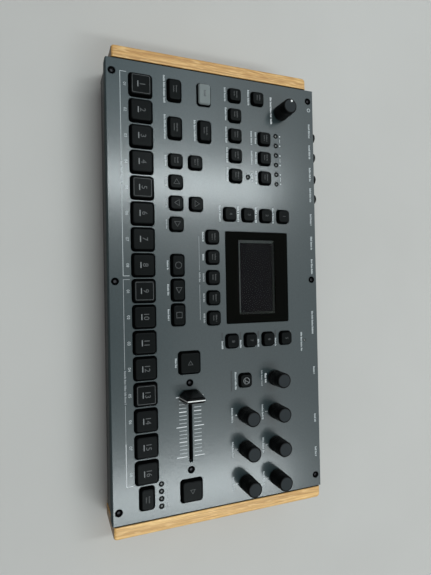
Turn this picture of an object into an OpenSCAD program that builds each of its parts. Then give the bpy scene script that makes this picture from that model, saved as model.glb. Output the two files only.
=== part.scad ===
// Desktop audio sampler: a folded-steel case between two wooden cheeks, with a
// row of sixteen step keys, a crossfader, eight knobs and a small display.
// Millimetres, +Z up, +X to the player's right, +Y to the rear.
// The origin is on the table, under the middle of the whole outline.

/* [Case] */
// Width of the top panel
panel_w = 340; // [338:1:345]
// Depth of the top panel
panel_d = 176; // [175:1:180]
// Height of the panel's top face above the table
panel_top = 46; // [44:1:52]
// Thickness of the top panel's sheet
panel_t = 1.5; // [1:0.1:2]
// Height of the panel's folded front lip
lip_h = 9.5; // [6:0.5:16]
// Thickness of the tray's sheet
tray_t = 1.2; // [0.8:0.1:1.6]
// How far the audio jacks stand out behind the panel
jack_reach = 8; // [5:0.5:10]

/* [Cheeks and feet] */
// Thickness of a wooden cheek
cheek_t = 9.1; // [8:0.1:14]
// Gap between the panel's edge and a cheek
cheek_gap = 0.9; // [0.3:0.1:1]
// How far the left cheek's front end stays inside the panel's front edge
left_front = 4.5; // [0:0.5:8]
// How far the left cheek's rear end stays inside the panel's rear edge
left_rear = 6.5; // [0:0.5:8]
// How far the right cheek's front end stays inside the panel's front edge
right_front = 1; // [0:0.5:8]
// How far the right cheek's rear end stays inside the panel's rear edge
right_rear = 0.5; // [0:0.5:8]
// Rounding of a cheek's long outer edges
cheek_edge = 1.6; // [1:0.1:3]
// Radius of a cheek's upright front corner
cheek_corner = 2; // [1:0.5:5]
// Radius of a cheek's upright rear corner
cheek_rear = 3; // [1:0.5:7]
// Height of a rubber foot
foot_h = 5; // [4:0.5:6]
// Radius of a rubber foot
foot_r = 9; // [7:0.5:11]

/* [Keys] */
// Travel of every key
key_travel = 1.5; // [1:0.1:1.6]
// How far a key's top stands above the panel
key_rise = 3.2; // [2.5:0.1:4]
// Pitch of the sixteen step keys
trig_pitch = 19.1; // [19:0.05:19.2]
// Side of a step key's cut-out
trig_cut = 18; // [17.5:0.1:18.1]
// Side of a small square key's cut-out
small_cut = 11.8; // [11:0.1:12]
// Gap around a key in its cut-out
key_gap = 0.3; // [0.25:0.05:0.4]

/* [Knobs] */
// Radius of a knob's skirt
knob_r = 6.4; // [6:0.1:7]
// Height of a knob's top above the panel
knob_rise = 16.8; // [14:0.1:17]
// Radius of a knob's shaft
shaft_r = 3; // [2.5:0.1:3]
// Running clearance of a shaft in its bush
shaft_play = 0.05; // [0.02:0.01:0.08]

/* [Crossfader] */
// Travel of the crossfader
fader_travel = 45.6; // [40:0.1:46]
// Height of the fader cap's ridge above the panel
fader_rise = 16.5; // [14:0.5:18]

/* [Rear connectors] */
// Radius of an audio jack's bore
jack_bore = 3.25; // [3.2:0.01:3.3]
// Height of the upper jacks' axes
jack_hi = 33; // [32:0.5:34]
// Height of the lower jacks' axes
jack_lo = 17; // [16.5:0.5:17.5]
// Radius of a round five-pin socket's recess
din_r = 6.9; // [6.7:0.1:7]
// Travel of the power button
power_travel = 2.5; // [1.5:0.1:3]

/* [Hidden] */
$fn = 48;

// Layout. Positions are measured from the middle of the panel.
yc = -jack_reach / 2;                 // the panel's middle in Y
zu = panel_top - panel_t;             // underside of the panel
front = -panel_d / 2;
rear = panel_d / 2;
floor_z = foot_h;                     // underside of the tray
board_z = panel_top - 12;             // top of the key board
io_z = foot_h + 4.6;                  // top of the connector board
plate_in = rear - 2;                  // rear panel, inner face
plate_out = rear - 0.5;               // rear panel, outer face
flange_z = zu - 0.3;                  // top of the flange that keeps a key in
stem_z = board_z + 4.4;               // bottom of a key's stem

step_x0 = -152;
step_y = -62.35;
rect_cut = [18, small_cut];
move_cut = [17.6, 11.5];
func_at = [-152, -12.4];
page_at = [153.5, -62.6];
fkey_at = [[56.3, -28.1], [153.6, -28.1]];
move_at = [for (i = [0:2]) [-18.3 + 18.85 * i, -36.2]];
bank_at = [[-123, -12.4], [-152, -36.4], [-123, -36.4]];
cursor_at = concat([[-97.9, -20.4], [-65.7, -20.4]], [for (i = [0:3]) [-97.9 + 16.1 * i, -36.4]]);
mode_at = concat([for (i = [0:4]) [-155.3 + 16.2 * i, 13.8]], [[-155.3, 34.2]]);
rec_at = [for (i = [0:2]) [-122.9 + 16.2 * i, 39.9]];
track_at = [for (x = [-59.3, 41.9]) for (j = [0:3]) [x, 56 - 16.05 * j]];
param_at = [for (i = [0:4]) [-40.6 + 15.9 * i, -7.4]];
tempo_at = [74, 18.5];
trig_at = [for (i = [0:15]) [step_x0 + trig_pitch * i, step_y]];
small_at = concat(cursor_at, mode_at, rec_at, track_at, param_at, [tempo_at]);
key_at = concat(trig_at, [func_at, page_at], fkey_at, move_at, bank_at, small_at);

volume_at = [-146.4, 55.9];
level_at = [74, 45.2];
data_at = [for (j = [0:1]) for (i = [0:2]) [101.2 + 27.1 * i, 45.2 - 27.3 * j]];
knob_at = concat([volume_at, level_at], data_at);

fader_at = [105, -28];
led_at = concat([for (i = [0:5]) [-126.8 + 8.05 * i, 51.1]], [[-90.5, 24.7]],
  [for (i = [0:3]) [145 + 5.5 * i, -51.6]]);
card_led_at = [45, 75.2];
screw_at = [for (x = [-160.5, -6.5, 160.5]) for (y = [-83.2, 83.2]) [x, y]];
fader_screw_at = [[71.8, -28], [138.2, -28]];
window_at = [-8.8, 31.7];
window_s = [73.6, 55.8];

stack_x = [-133.5, -115.8, -96.2, -78.8];
phones_x = -153;
din_x = [-58, -37.8, -17.5];
din_z = 20.5;
port_z = 15.6;
card_x = 30;
usb_x = 71;
dc_x = 112;
mouth = 5.2;                          // half the side of the power inlet's mouth
bay_w = 14;                           // half the width of the bay around it
seam = 0.02;
power_x = 140.7;
power_z = 20;

// ---- shared shapes ----
function arc(x, y, r, a0, a1, n) = [for (i = [0:n]) let (a = a0 + (a1 - a0) * i / n) [x + r * cos(a), y + r * sin(a)]];
function rrect(w, d, r, n = 3) = concat(
  arc(w / 2 - r, d / 2 - r, r, 0, 90, n), arc(-w / 2 + r, d / 2 - r, r, 90, 180, n),
  arc(-w / 2 + r, -d / 2 + r, r, 180, 270, n), arc(w / 2 - r, -d / 2 + r, r, 270, 360, n));

// Places children on the panel's plan, at height z.
module at(p, z = 0) translate([p[0], p[1] + yc, z]) children();
// A block given by its ranges in panel X, panel Y and Z.
module block(x, y, z) translate([x[0], y[0] + yc, z[0]]) cube([x[1] - x[0], y[1] - y[0], z[1] - z[0]]);
// A rounded prism.
module prism(s, r, z, n = 3) translate([0, 0, z[0]]) linear_extrude(z[1] - z[0]) polygon(rrect(s[0], s[1], r, n));
// A cylinder along +Y, from y0 to y1 of the panel's plan.
module rod(x, z, r, y0, y1) translate([x, y0 + yc, z]) rotate([-90, 0, 0]) cylinder(h = y1 - y0, r = r);
// A key-shaped hole.
module hole(p, s, r) at(p) prism(s, r, [zu - 1, panel_top + 1], 4);

// A key: a cap with sloped sides, a flange under the panel and a stem.
module key(p, cut, slope = 1.7, r = 2.4) {
  w = cut[0] - 2 * key_gap;
  d = cut[1] - 2 * key_gap;
  t = panel_top + key_rise;
  at(p) union() {
    intersection() {
      prism([w, d], r, [flange_z - 0.5, t]);
      rotate([90, 0, 0]) translate([0, 0, -d]) linear_extrude(2 * d)
        polygon([[-w, flange_z - 1], [w, flange_z - 1], [w / 2, panel_top + 0.6], [w / 2 - slope, t - 0.5], [w / 2 - slope - 0.5, t + 0.01], [-w / 2 + slope + 0.5, t + 0.01], [-w / 2 + slope, t - 0.5], [-w / 2, panel_top + 0.6]]);
      rotate([90, 0, 90]) translate([0, 0, -w]) linear_extrude(2 * w)
        polygon([[-d, flange_z - 1], [d, flange_z - 1], [d / 2, panel_top + 0.6], [d / 2 - slope, t - 0.5], [d / 2 - slope - 0.5, t + 0.01], [-d / 2 + slope + 0.5, t + 0.01], [-d / 2 + slope, t - 0.5], [-d / 2, panel_top + 0.6]]);
    }
    prism([cut[0] + 0.6, cut[1] + 0.6], r + 0.3, [flange_z - 1.1, flange_z]);
    translate([0, 0, stem_z]) cylinder(h = flange_z - 1 - stem_z, r = 1.6);
  }
}
module small_keys(list) for (p = list) key(p, [small_cut, small_cut], 1.2, 2.6);

// A knob cap and the shaft that it sits on.
module knob(p) at(p) {
  z0 = panel_top + 0.7;
  z1 = panel_top + knob_rise;
  difference() {
    rotate_extrude() polygon([[0, z0], [knob_r, z0], [knob_r, z0 + 3.4], [knob_r - 0.3, z0 + 3.7],
      [knob_r - 0.3, z1 - 0.9], [knob_r - 0.6, z1 - 0.3], [knob_r - 1.1, z1], [0, z1]]);
    translate([0, 0, z0 - 1]) cylinder(h = 2.8, r = 5.1);
    translate([0, 0, z0 - 1]) cylinder(h = z1 - 4 - z0 + 1, r = shaft_r + 0.03);
  }
  translate([0, 0, board_z + 4]) cylinder(h = z1 - 4.5 - board_z - 4, r = shaft_r);
}

// ---- case ----
module top_panel() color([0.33, 0.36, 0.37]) difference() {
  union() {
    block([-panel_w / 2, panel_w / 2], [front, rear], [zu, panel_top]);
    block([-panel_w / 2, panel_w / 2], [front, front + panel_t], [panel_top - lip_h, panel_top - 0.1]);
  }
  for (p = trig_at) hole(p, [trig_cut, trig_cut], 2.7);
  for (p = fkey_at) hole(p, [trig_cut, trig_cut], 2.7);
  for (p = concat([func_at, page_at], bank_at)) hole(p, rect_cut, 2.7);
  for (p = move_at) hole(p, move_cut, 2.7);
  for (p = small_at) hole(p, [small_cut, small_cut], 2.9);
  hole(window_at, window_s + [0.4, 0.4], 1.2);
  hole(fader_at, [55, 2.9], 1.4);
  for (p = knob_at) at(p, zu - 1) cylinder(h = panel_t + 2, r = 4.5);
  for (p = led_at) at(p, zu - 1) cylinder(h = panel_t + 2, r = 1.95);
  at(card_led_at, zu - 1) cylinder(h = panel_t + 2, r = 1.15);
  for (p = concat(screw_at, fader_screw_at)) {
    at(p, zu - 1) cylinder(h = panel_t + 2, r = 1.6);
    at(p, panel_top - 1.2) cylinder(h = 1.3, r1 = 1.55, r2 = 2.95);
  }
}

module tab_holes(list) for (p = list) at(p, zu - 3) cylinder(h = 4, r = 1.5);

module bottom_tray() color([0.16, 0.17, 0.18]) difference() {
  union() {
    block([-panel_w / 2 + 0.2, panel_w / 2 - 0.2], [front + panel_t + 0.2, plate_in - 0.2], [floor_z, floor_z + tray_t]);
    block([-panel_w / 2 + 0.2, panel_w / 2 - 0.2], [front + panel_t + 0.2, front + panel_t + 0.2 + tray_t], [floor_z, zu - 0.1]);
    for (s = [0, 1]) mirror([s, 0, 0])
      block([panel_w / 2 - 0.2 - tray_t, panel_w / 2 - 0.2], [front + panel_t + 0.2, plate_in - 0.2], [floor_z, zu - 0.1]);
    for (p = screw_at) if (p[1] < 0)
      block([p[0] - 5, p[0] + 5], [front + panel_t + 0.3, p[1] + 4.5], [zu - 1.5, zu - 0.1]);
  }
  tab_holes([for (p = screw_at) if (p[1] < 0) p]);
  for (s = [-1, 1]) for (y = [-55, 55]) translate([s * (panel_w / 2 - 6), y + yc, 25]) rotate([0, s * 90, 0]) cylinder(h = 12, r = 1.6);
}

module rear_panel() color([0.16, 0.17, 0.18]) {
  rear_sheet();
  inlet_bay();
}
module rear_sheet() difference() {
  union() {
    block([-panel_w / 2 + 1.6, dc_x - bay_w], [plate_in, plate_out], [floor_z + 0.2, zu - 0.1]);
    block([dc_x + bay_w, panel_w / 2 - 1.6], [plate_in, plate_out], [floor_z + 0.2, zu - 0.1]);
    for (p = screw_at) if (p[1] > 0)
      block([p[0] - 5, p[0] + 5], [p[1] - 4.5, plate_in + 0.1], [zu - 1.5, zu - 0.1]);
  }
  tab_holes([for (p = screw_at) if (p[1] > 0) p]);
  rod(phones_x, jack_lo, 4.5, plate_in - 1, plate_out + 1);
  for (x = stack_x) for (z = [jack_lo, jack_hi]) rod(x, z, 4.5, plate_in - 1, plate_out + 1);
  for (x = din_x) rod(x, din_z, 8.1, plate_in - 1, plate_out + 1);
  block([card_x - 23, card_x + 23], [plate_in - 1, plate_out + 1], [port_z - 3, port_z + 3]);
  block([usb_x - 4.7, usb_x + 4.7], [plate_in - 1, plate_out + 1], [port_z - 4.4, port_z + 4.4]);
  rod(power_x, power_z, 4.4, plate_in - 1, plate_out + 1);
}
// The bay that frames the power inlet: four strips around a square mouth, set
// between the two sheets with hairline seams.
module inlet_bay() {
  for (s = [-1, 1]) translate([dc_x, 0, 0])
    block(s < 0 ? [seam - bay_w, -mouth - seam] : [mouth + seam, bay_w - seam], [plate_in, plate_out], [floor_z + 0.2, zu - 0.1]);
  for (z = [[floor_z + 0.2, port_z - mouth], [port_z + mouth, zu - 0.1]])
    block([dc_x - mouth, dc_x + mouth], [plate_in, plate_out], z);
}

// One cheek, on the +X side: a board with its outer edges and ends rounded, and a
// low pad around each screw that meets the tray's wall.
module cheek(front_in, rear_in) {
  x0 = panel_w / 2 + cheek_gap;
  y0 = front + front_in;
  y1 = rear - rear_in;
  z0 = foot_h - 1.5;
  z1 = panel_top;
  difference() {
    union() {
      intersection() {
        translate([x0, 0, 0]) rotate([90, 0, 90]) linear_extrude(cheek_t) polygon(concat(
          arc(y1 + yc - 2.5, z1 - 2.5, 2.5, 0, 90, 5), arc(y0 + yc + 2, z1 - 2, 2, 90, 180, 5),
          arc(y0 + yc + 2, z0 + 2, 2, 180, 270, 5), arc(y1 + yc - 4, z0 + 4, 4, 270, 360, 5)));
        translate([x0, yc, z0 - 1]) linear_extrude(z1 - z0 + 2) polygon(concat(
          [[-1, y0 - 1]], [[-1, y1 + 1]], [[0, y1 + 1]],
          arc(cheek_t - cheek_rear, y1 - cheek_rear, cheek_rear, 90, 0, 8), arc(cheek_t - cheek_corner, y0 + cheek_corner, cheek_corner, 0, -90, 6), [[0, y0 - 1]]));
        translate([x0, rear + yc + 1, 0]) rotate([90, 0, 0]) linear_extrude(panel_d + 2) polygon(concat(
          [[-1, z0 - 1], [0, z0 - 1]], arc(cheek_t - cheek_edge, z0 + cheek_edge, cheek_edge, -90, 0, 5),
          arc(cheek_t - cheek_edge, z1 - cheek_edge, cheek_edge, 0, 90, 5), [[0, z1 + 1], [-1, z1 + 1]]));
      }
      for (y = [-55, 55]) translate([panel_w / 2 - 0.2, y + yc, 25]) rotate([0, 90, 0]) cylinder(h = cheek_gap + 0.7, r = 6);
    }
    for (y = [-55, 55]) translate([x0 - 2, y + yc, 25]) rotate([0, 90, 0]) {
      cylinder(h = cheek_t + 3, r = 1.6);
      translate([0, 0, cheek_t - 1.2]) cylinder(h = 4, r = 3.2);
    }
  }
}
module left_cheek() color([0.80, 0.66, 0.44]) mirror([1, 0, 0]) cheek(left_front, left_rear);
module right_cheek() color([0.80, 0.66, 0.44]) cheek(right_front, right_rear);

// Cap screws that hold the cheeks to the tray.
module cheek_screws() color([0.08, 0.08, 0.08])
  for (s = [-1, 1]) for (y = [-55, 55])
    translate([s * (panel_w / 2 + cheek_gap + cheek_t - 3.1), y + yc, 25]) rotate([0, s * 90, 0]) difference() {
      union() {
        translate([0, 0, -11]) cylinder(h = 11.5, r = 1.5);
        translate([0, 0, 0]) cylinder(h = 2.4, r = 2.9);
      }
      translate([0, 0, 1]) cylinder(h = 2, r = 1.5, $fn = 6);
    }

// Countersunk hex-socket screws in the panel.
module panel_screws() color([0.08, 0.08, 0.08])
  for (p = concat(screw_at, fader_screw_at)) at(p) difference() {
    union() {
      translate([0, 0, panel_top - 1.2]) cylinder(h = 1.2, r1 = 1.45, r2 = 2.75);
      translate([0, 0, panel_top - 4.6]) cylinder(h = 3.5, r = 1.4);
    }
    translate([0, 0, panel_top - 0.9]) cylinder(h = 1, r = 1.2, $fn = 6);
  }

module feet() color([0.06, 0.06, 0.06])
  for (x = [-148, 148]) for (y = [-68, 66]) at([x, y]) cylinder(h = foot_h - 0.02, r1 = foot_r - 1, r2 = foot_r);

// ---- inside ----
module circuit_boards() color([0.05, 0.3, 0.16]) {
  block([-164, 164], [-76, 62], [board_z - 1.6, board_z]);
  block([-165, 165], [26, plate_in - 0.3], [io_z - 1.6, io_z]);
  for (x = [-150, 0, 150]) for (y = [-70, 15]) at([x, y], floor_z + tray_t + 0.05)
    cylinder(h = board_z - 1.7 - floor_z - tray_t, r = 2.6);
}

// Push switches on the key board, and the power switch.
module key_switches() color([0.12, 0.12, 0.13]) {
  for (p = key_at) at(p, board_z + 0.05) difference() {
    translate([-3, -3, 0]) cube([6, 6, 6]);
    translate([0, 0, 2.4]) cylinder(h = 5, r = 1.8);
  }
  difference() {
    block([power_x - 6, power_x + 6], [plate_in - 18, plate_in - 3.4], [io_z + 0.05, power_z + 6]);
    rod(power_x, power_z, 2.3, plate_in - 12, plate_in);
  }
}

// Rotary encoders and the volume potentiometer, each with its bush.
module encoders() color([0.35, 0.36, 0.38]) for (p = knob_at) at(p) difference() {
  union() {
    translate([-6, -6, board_z + 0.05]) cube([12, 12, 9.5]);
    translate([0, 0, board_z + 9]) cylinder(h = panel_top + 1.2 - board_z - 9, r = 4.3);
  }
  translate([0, 0, board_z + 3]) cylinder(h = panel_top - board_z + 2, r = shaft_r + shaft_play);
}

// The crossfader's slotted body, hung under the panel.
module fader_body() color([0.5, 0.51, 0.52]) at(fader_at) difference() {
  union() {
    translate([-38, -7, zu - 1.3]) cube([76, 14, 1.2]);
    translate([-32, -4.5, zu - 9]) cube([64, 9, 8]);
  }
  translate([-fader_travel / 2 - 3.1, -1, zu - 8]) cube([fader_travel + 6.2, 2, 9]);
  for (x = [-33.2, 33.2]) translate([x, 0, zu - 3]) cylinder(h = 4, r = 1.5);
}

module display_window() color([0.02, 0.02, 0.02, 0.6])
  at(window_at) prism(window_s, 1, [zu + 0.3, panel_top + 0.1], 4);

module display_module() color([0.1, 0.1, 0.11]) difference() {
  block([-41, 23.4], [8, 54], [board_z + 0.05, zu + 0.2]);
  block([-36.5, 18.9], [16.1, 45.9], [zu - 0.5, zu + 1]);
}

module status_leds() color([0.7, 0.7, 0.68]) {
  for (p = led_at) at(p) union() {
    translate([0, 0, board_z + 0.05]) cylinder(h = 2, r = 2.4);
    translate([0, 0, board_z + 1]) cylinder(h = panel_top - board_z - 1.1, r = 1.75);
  }
  at(card_led_at) translate([0, 0, zu - 4]) cylinder(h = panel_t + 3.9, r = 1);
}

// ---- rear connectors ----
// A threaded nose with a rounded end, bored for a plug.
module nose(x, z) {
  rod(x, z, 4.4, plate_in - 1, rear + jack_reach - 1.2);
  translate([x, rear + jack_reach - 1.2 + yc, z]) rotate([-90, 0, 0]) cylinder(h = 1.2, r1 = 4.4, r2 = 3.9);
}
module audio_jacks() color([0.07, 0.07, 0.07]) {
  difference() {
    union() {
      block([phones_x - 8, phones_x + 8], [plate_in - 23, plate_in - 0.2], [io_z + 0.05, jack_lo + 8]);
      nose(phones_x, jack_lo);
    }
    rod(phones_x, jack_lo, jack_bore, rear + jack_reach - 30, rear + jack_reach + 1);
  }
  for (x = stack_x) difference() {
    union() {
      block([x - 8, x + 8], [plate_in - 23, plate_in - 0.2], [io_z + 0.05, jack_hi + 8]);
      nose(x, jack_hi);
      nose(x, jack_lo);
    }
    for (z = [jack_lo, jack_hi]) rod(x, z, jack_bore, rear + jack_reach - 30, rear + jack_reach + 1);
  }
}

// Round five-pin sockets: a recess for the plug's shell, and five pin holes in its floor.
module midi_sockets() color([0.06, 0.06, 0.06]) for (x = din_x) difference() {
  union() {
    block([x - 9.4, x + 9.4], [plate_in - 14, plate_in - 0.2], [io_z + 0.05, din_z + 10]);
    rod(x, din_z, 7.9, plate_in - 1, rear);
  }
  rod(x, din_z, din_r, rear - 9, rear + 1);
  for (a = [0:45:180]) rod(x + 4.4 * cos(a), din_z - 4.4 * sin(a), 0.8, rear - 13, rear - 8);
}

module card_slot() color([0.3, 0.31, 0.33]) difference() {
  block([card_x - 25, card_x + 25], [plate_in - 40, plate_in - 0.2], [io_z + 0.05, port_z + 5]);
  block([card_x - 21.8, card_x + 21.8], [plate_in - 37, plate_in + 1], [port_z - 2.5, port_z + 2.5]);
}

module usb_socket() color([0.75, 0.76, 0.78]) difference() {
  block([usb_x - 6, usb_x + 6], [plate_in - 16.5, plate_in - 0.2], [io_z + 0.05, port_z + 5.5]);
  difference() {
    block([usb_x - 4.3, usb_x + 4.3], [plate_in - 10.5, plate_in + 1], [port_z - 3.95, port_z + 3.95]);
    block([usb_x - 2.8, usb_x + 2.8], [plate_in - 11, plate_in - 1.6], [port_z - 1.6, port_z + 1.6]);
  }
}

module dc_inlet() color([0.07, 0.07, 0.07]) difference() {
  block([dc_x - 7, dc_x + 7], [plate_in - 14, plate_in - 0.2], [io_z + 0.05, port_z + 5.5]);
  difference() {
    rod(dc_x, port_z, 2.9, plate_in - 10, plate_in + 1);
    rod(dc_x, port_z, 1, plate_in - 11, plate_in - 0.9);
  }
}

// ---- moving pieces ----
module volume_knob() color([0.1, 0.1, 0.1]) knob(volume_at);
module level_knob() color([0.1, 0.1, 0.1]) knob(level_at);
module data_knob_a() color([0.1, 0.1, 0.1]) knob(data_at[0]);
module data_knob_b() color([0.1, 0.1, 0.1]) knob(data_at[1]);
module data_knob_c() color([0.1, 0.1, 0.1]) knob(data_at[2]);
module data_knob_d() color([0.1, 0.1, 0.1]) knob(data_at[3]);
module data_knob_e() color([0.1, 0.1, 0.1]) knob(data_at[4]);
module data_knob_f() color([0.1, 0.1, 0.1]) knob(data_at[5]);

// The fader's cap, at the left end of its travel, and its lever.
module crossfader_cap() color([0.06, 0.06, 0.06])
  at([fader_at[0] - fader_travel / 2, fader_at[1]], panel_top) {
    h = fader_rise;
    difference() {
      intersection() {
        linear_extrude(h + 1) polygon([[-5.4, -4.7], [-2, -8.8], [2, -8.8], [5.4, -4.7], [5.4, 4.7], [2, 8.8], [-2, 8.8], [-5.4, 4.7]]);
        rotate([90, 0, 0]) translate([0, 0, -15]) linear_extrude(30)
          polygon([[-6, 0.8], [6, 0.8], [6, 1.8], [5, 2.6], [3.8, 6], [2.9, 11], [2.3, h - 1.3], [1.9, h - 0.7], [0.5, h], [-0.5, h], [-1.9, h - 0.7], [-2.3, h - 1.3], [-2.9, 11], [-3.8, 6], [-5, 2.6], [-6, 1.8]]);
        rotate([90, 0, 90]) translate([0, 0, -10]) linear_extrude(20)
          polygon([[-9, 0.8], [9, 0.8], [9, 2], [8.6, 2.6], [7.9, 9], [7.2, h - 1.2], [6.7, h], [-6.7, h], [-7.2, h - 1.2], [-7.9, 9], [-8.6, 2.6], [-9, 2]]);
      }
      translate([-2.55, -0.65, -1]) cube([5.1, 1.3, 7.5]);
    }
    translate([-2.5, -0.6, -panel_t - 7]) cube([5, 1.2, panel_t + 13.2]);
  }

module power_button() color([0.08, 0.08, 0.08]) {
  rod(power_x, power_z, 4, plate_in - 1 + 0.6, plate_out + 3.6);
  rod(power_x, power_z, 2, plate_in - 9, plate_in);
}

module trig(i) color([0.13, 0.14, 0.14]) key(trig_at[i], [trig_cut, trig_cut]);
module trig_key_01() trig(0);
module trig_key_02() trig(1);
module trig_key_03() trig(2);
module trig_key_04() trig(3);
module trig_key_05() trig(4);
module trig_key_06() trig(5);
module trig_key_07() trig(6);
module trig_key_08() trig(7);
module trig_key_09() trig(8);
module trig_key_10() trig(9);
module trig_key_11() trig(10);
module trig_key_12() trig(11);
module trig_key_13() trig(12);
module trig_key_14() trig(13);
module trig_key_15() trig(14);
module trig_key_16() trig(15);
module func_key() color([0.6, 0.62, 0.62]) key(func_at, rect_cut);
module page_key() color([0.13, 0.14, 0.14]) key(page_at, rect_cut);
module fader_key_left() color([0.13, 0.14, 0.14]) key(fkey_at[0], [trig_cut, trig_cut]);
module fader_key_right() color([0.13, 0.14, 0.14]) key(fkey_at[1], [trig_cut, trig_cut]);
module record_key() color([0.13, 0.14, 0.14]) key(move_at[0], move_cut);
module play_key() color([0.13, 0.14, 0.14]) key(move_at[1], move_cut);
module stop_key() color([0.13, 0.14, 0.14]) key(move_at[2], move_cut);
module bank_keys() color([0.13, 0.14, 0.14]) for (p = bank_at) key(p, rect_cut);
module cursor_keys() color([0.13, 0.14, 0.14]) small_keys(cursor_at);
module mode_keys() color([0.13, 0.14, 0.14]) small_keys(mode_at);
module recorder_keys() color([0.13, 0.14, 0.14]) small_keys(rec_at);
module track_keys() color([0.13, 0.14, 0.14]) small_keys(track_at);
module param_keys() color([0.13, 0.14, 0.14]) small_keys(param_at);
module tempo_key() color([0.13, 0.14, 0.14]) small_keys([tempo_at]);

top_panel();
bottom_tray();
rear_panel();
left_cheek();
right_cheek();
cheek_screws();
panel_screws();
feet();
circuit_boards();
key_switches();
encoders();
fader_body();
display_window();
display_module();
status_leds();
audio_jacks();
midi_sockets();
card_slot();
usb_socket();
dc_inlet();
volume_knob();
level_knob();
data_knob_a();
data_knob_b();
data_knob_c();
data_knob_d();
data_knob_e();
data_knob_f();
crossfader_cap();
power_button();
trig_key_01();
trig_key_02();
trig_key_03();
trig_key_04();
trig_key_05();
trig_key_06();
trig_key_07();
trig_key_08();
trig_key_09();
trig_key_10();
trig_key_11();
trig_key_12();
trig_key_13();
trig_key_14();
trig_key_15();
trig_key_16();
func_key();
page_key();
fader_key_left();
fader_key_right();
record_key();
play_key();
stop_key();
bank_keys();
cursor_keys();
mode_keys();
recorder_keys();
track_keys();
param_keys();
tempo_key();
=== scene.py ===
import math

import bpy
import bmesh
from mathutils import Matrix, Vector
from mathutils.geometry import tessellate_polygon


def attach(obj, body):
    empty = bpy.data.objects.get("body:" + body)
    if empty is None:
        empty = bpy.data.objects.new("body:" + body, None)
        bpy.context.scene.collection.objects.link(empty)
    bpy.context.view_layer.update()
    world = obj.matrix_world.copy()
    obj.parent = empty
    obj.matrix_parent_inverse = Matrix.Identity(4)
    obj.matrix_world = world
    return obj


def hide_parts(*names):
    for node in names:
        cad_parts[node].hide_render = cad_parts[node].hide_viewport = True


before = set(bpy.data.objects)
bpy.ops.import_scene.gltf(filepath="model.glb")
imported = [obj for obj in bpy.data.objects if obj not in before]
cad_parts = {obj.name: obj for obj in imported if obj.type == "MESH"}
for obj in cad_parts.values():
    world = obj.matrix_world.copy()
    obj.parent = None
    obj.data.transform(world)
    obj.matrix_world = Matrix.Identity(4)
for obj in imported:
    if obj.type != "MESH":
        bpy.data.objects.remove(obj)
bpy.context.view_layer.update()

scene = bpy.context.scene
scene.view_settings.view_transform = "Standard"

# Plan dimensions are in millimetres from the middle of the panel; Z is from the table.
YC = -4.0            # the panel's middle in the row frame
TOP = 46.0           # top face of the panel
UNDER = 44.5         # its underside
FRONT, REAR = -88.0, 88.0
HALF = 170.0


# ---------------------------------------------------------------- camera
def camera():
    c = Vector((2.6, -128.9 + YC, 320.4 + TOP)) / 1000
    r = Vector((-0.0139, -0.3678, -0.0170))
    turn = Matrix.Rotation(r.length, 3, r.normalized())
    rows = turn @ Matrix(((0, 1, 0), (1, 0, 0), (0, 0, -1)))
    right, up, back = rows[0], -rows[1], -rows[2]
    data = bpy.data.cameras.new("camera")
    data.sensor_width = 36.0
    data.lens = 36.0 * 436.0 / 575.0
    data.clip_start, data.clip_end = 0.01, 20.0
    cam = bpy.data.objects.new("camera", data)
    scene.collection.objects.link(cam)
    cam.matrix_world = Matrix((
        (right[0], up[0], back[0], c[0]),
        (right[1], up[1], back[1], c[1]),
        (right[2], up[2], back[2], c[2]),
        (0, 0, 0, 1)))
    scene.camera = cam


camera()


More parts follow.
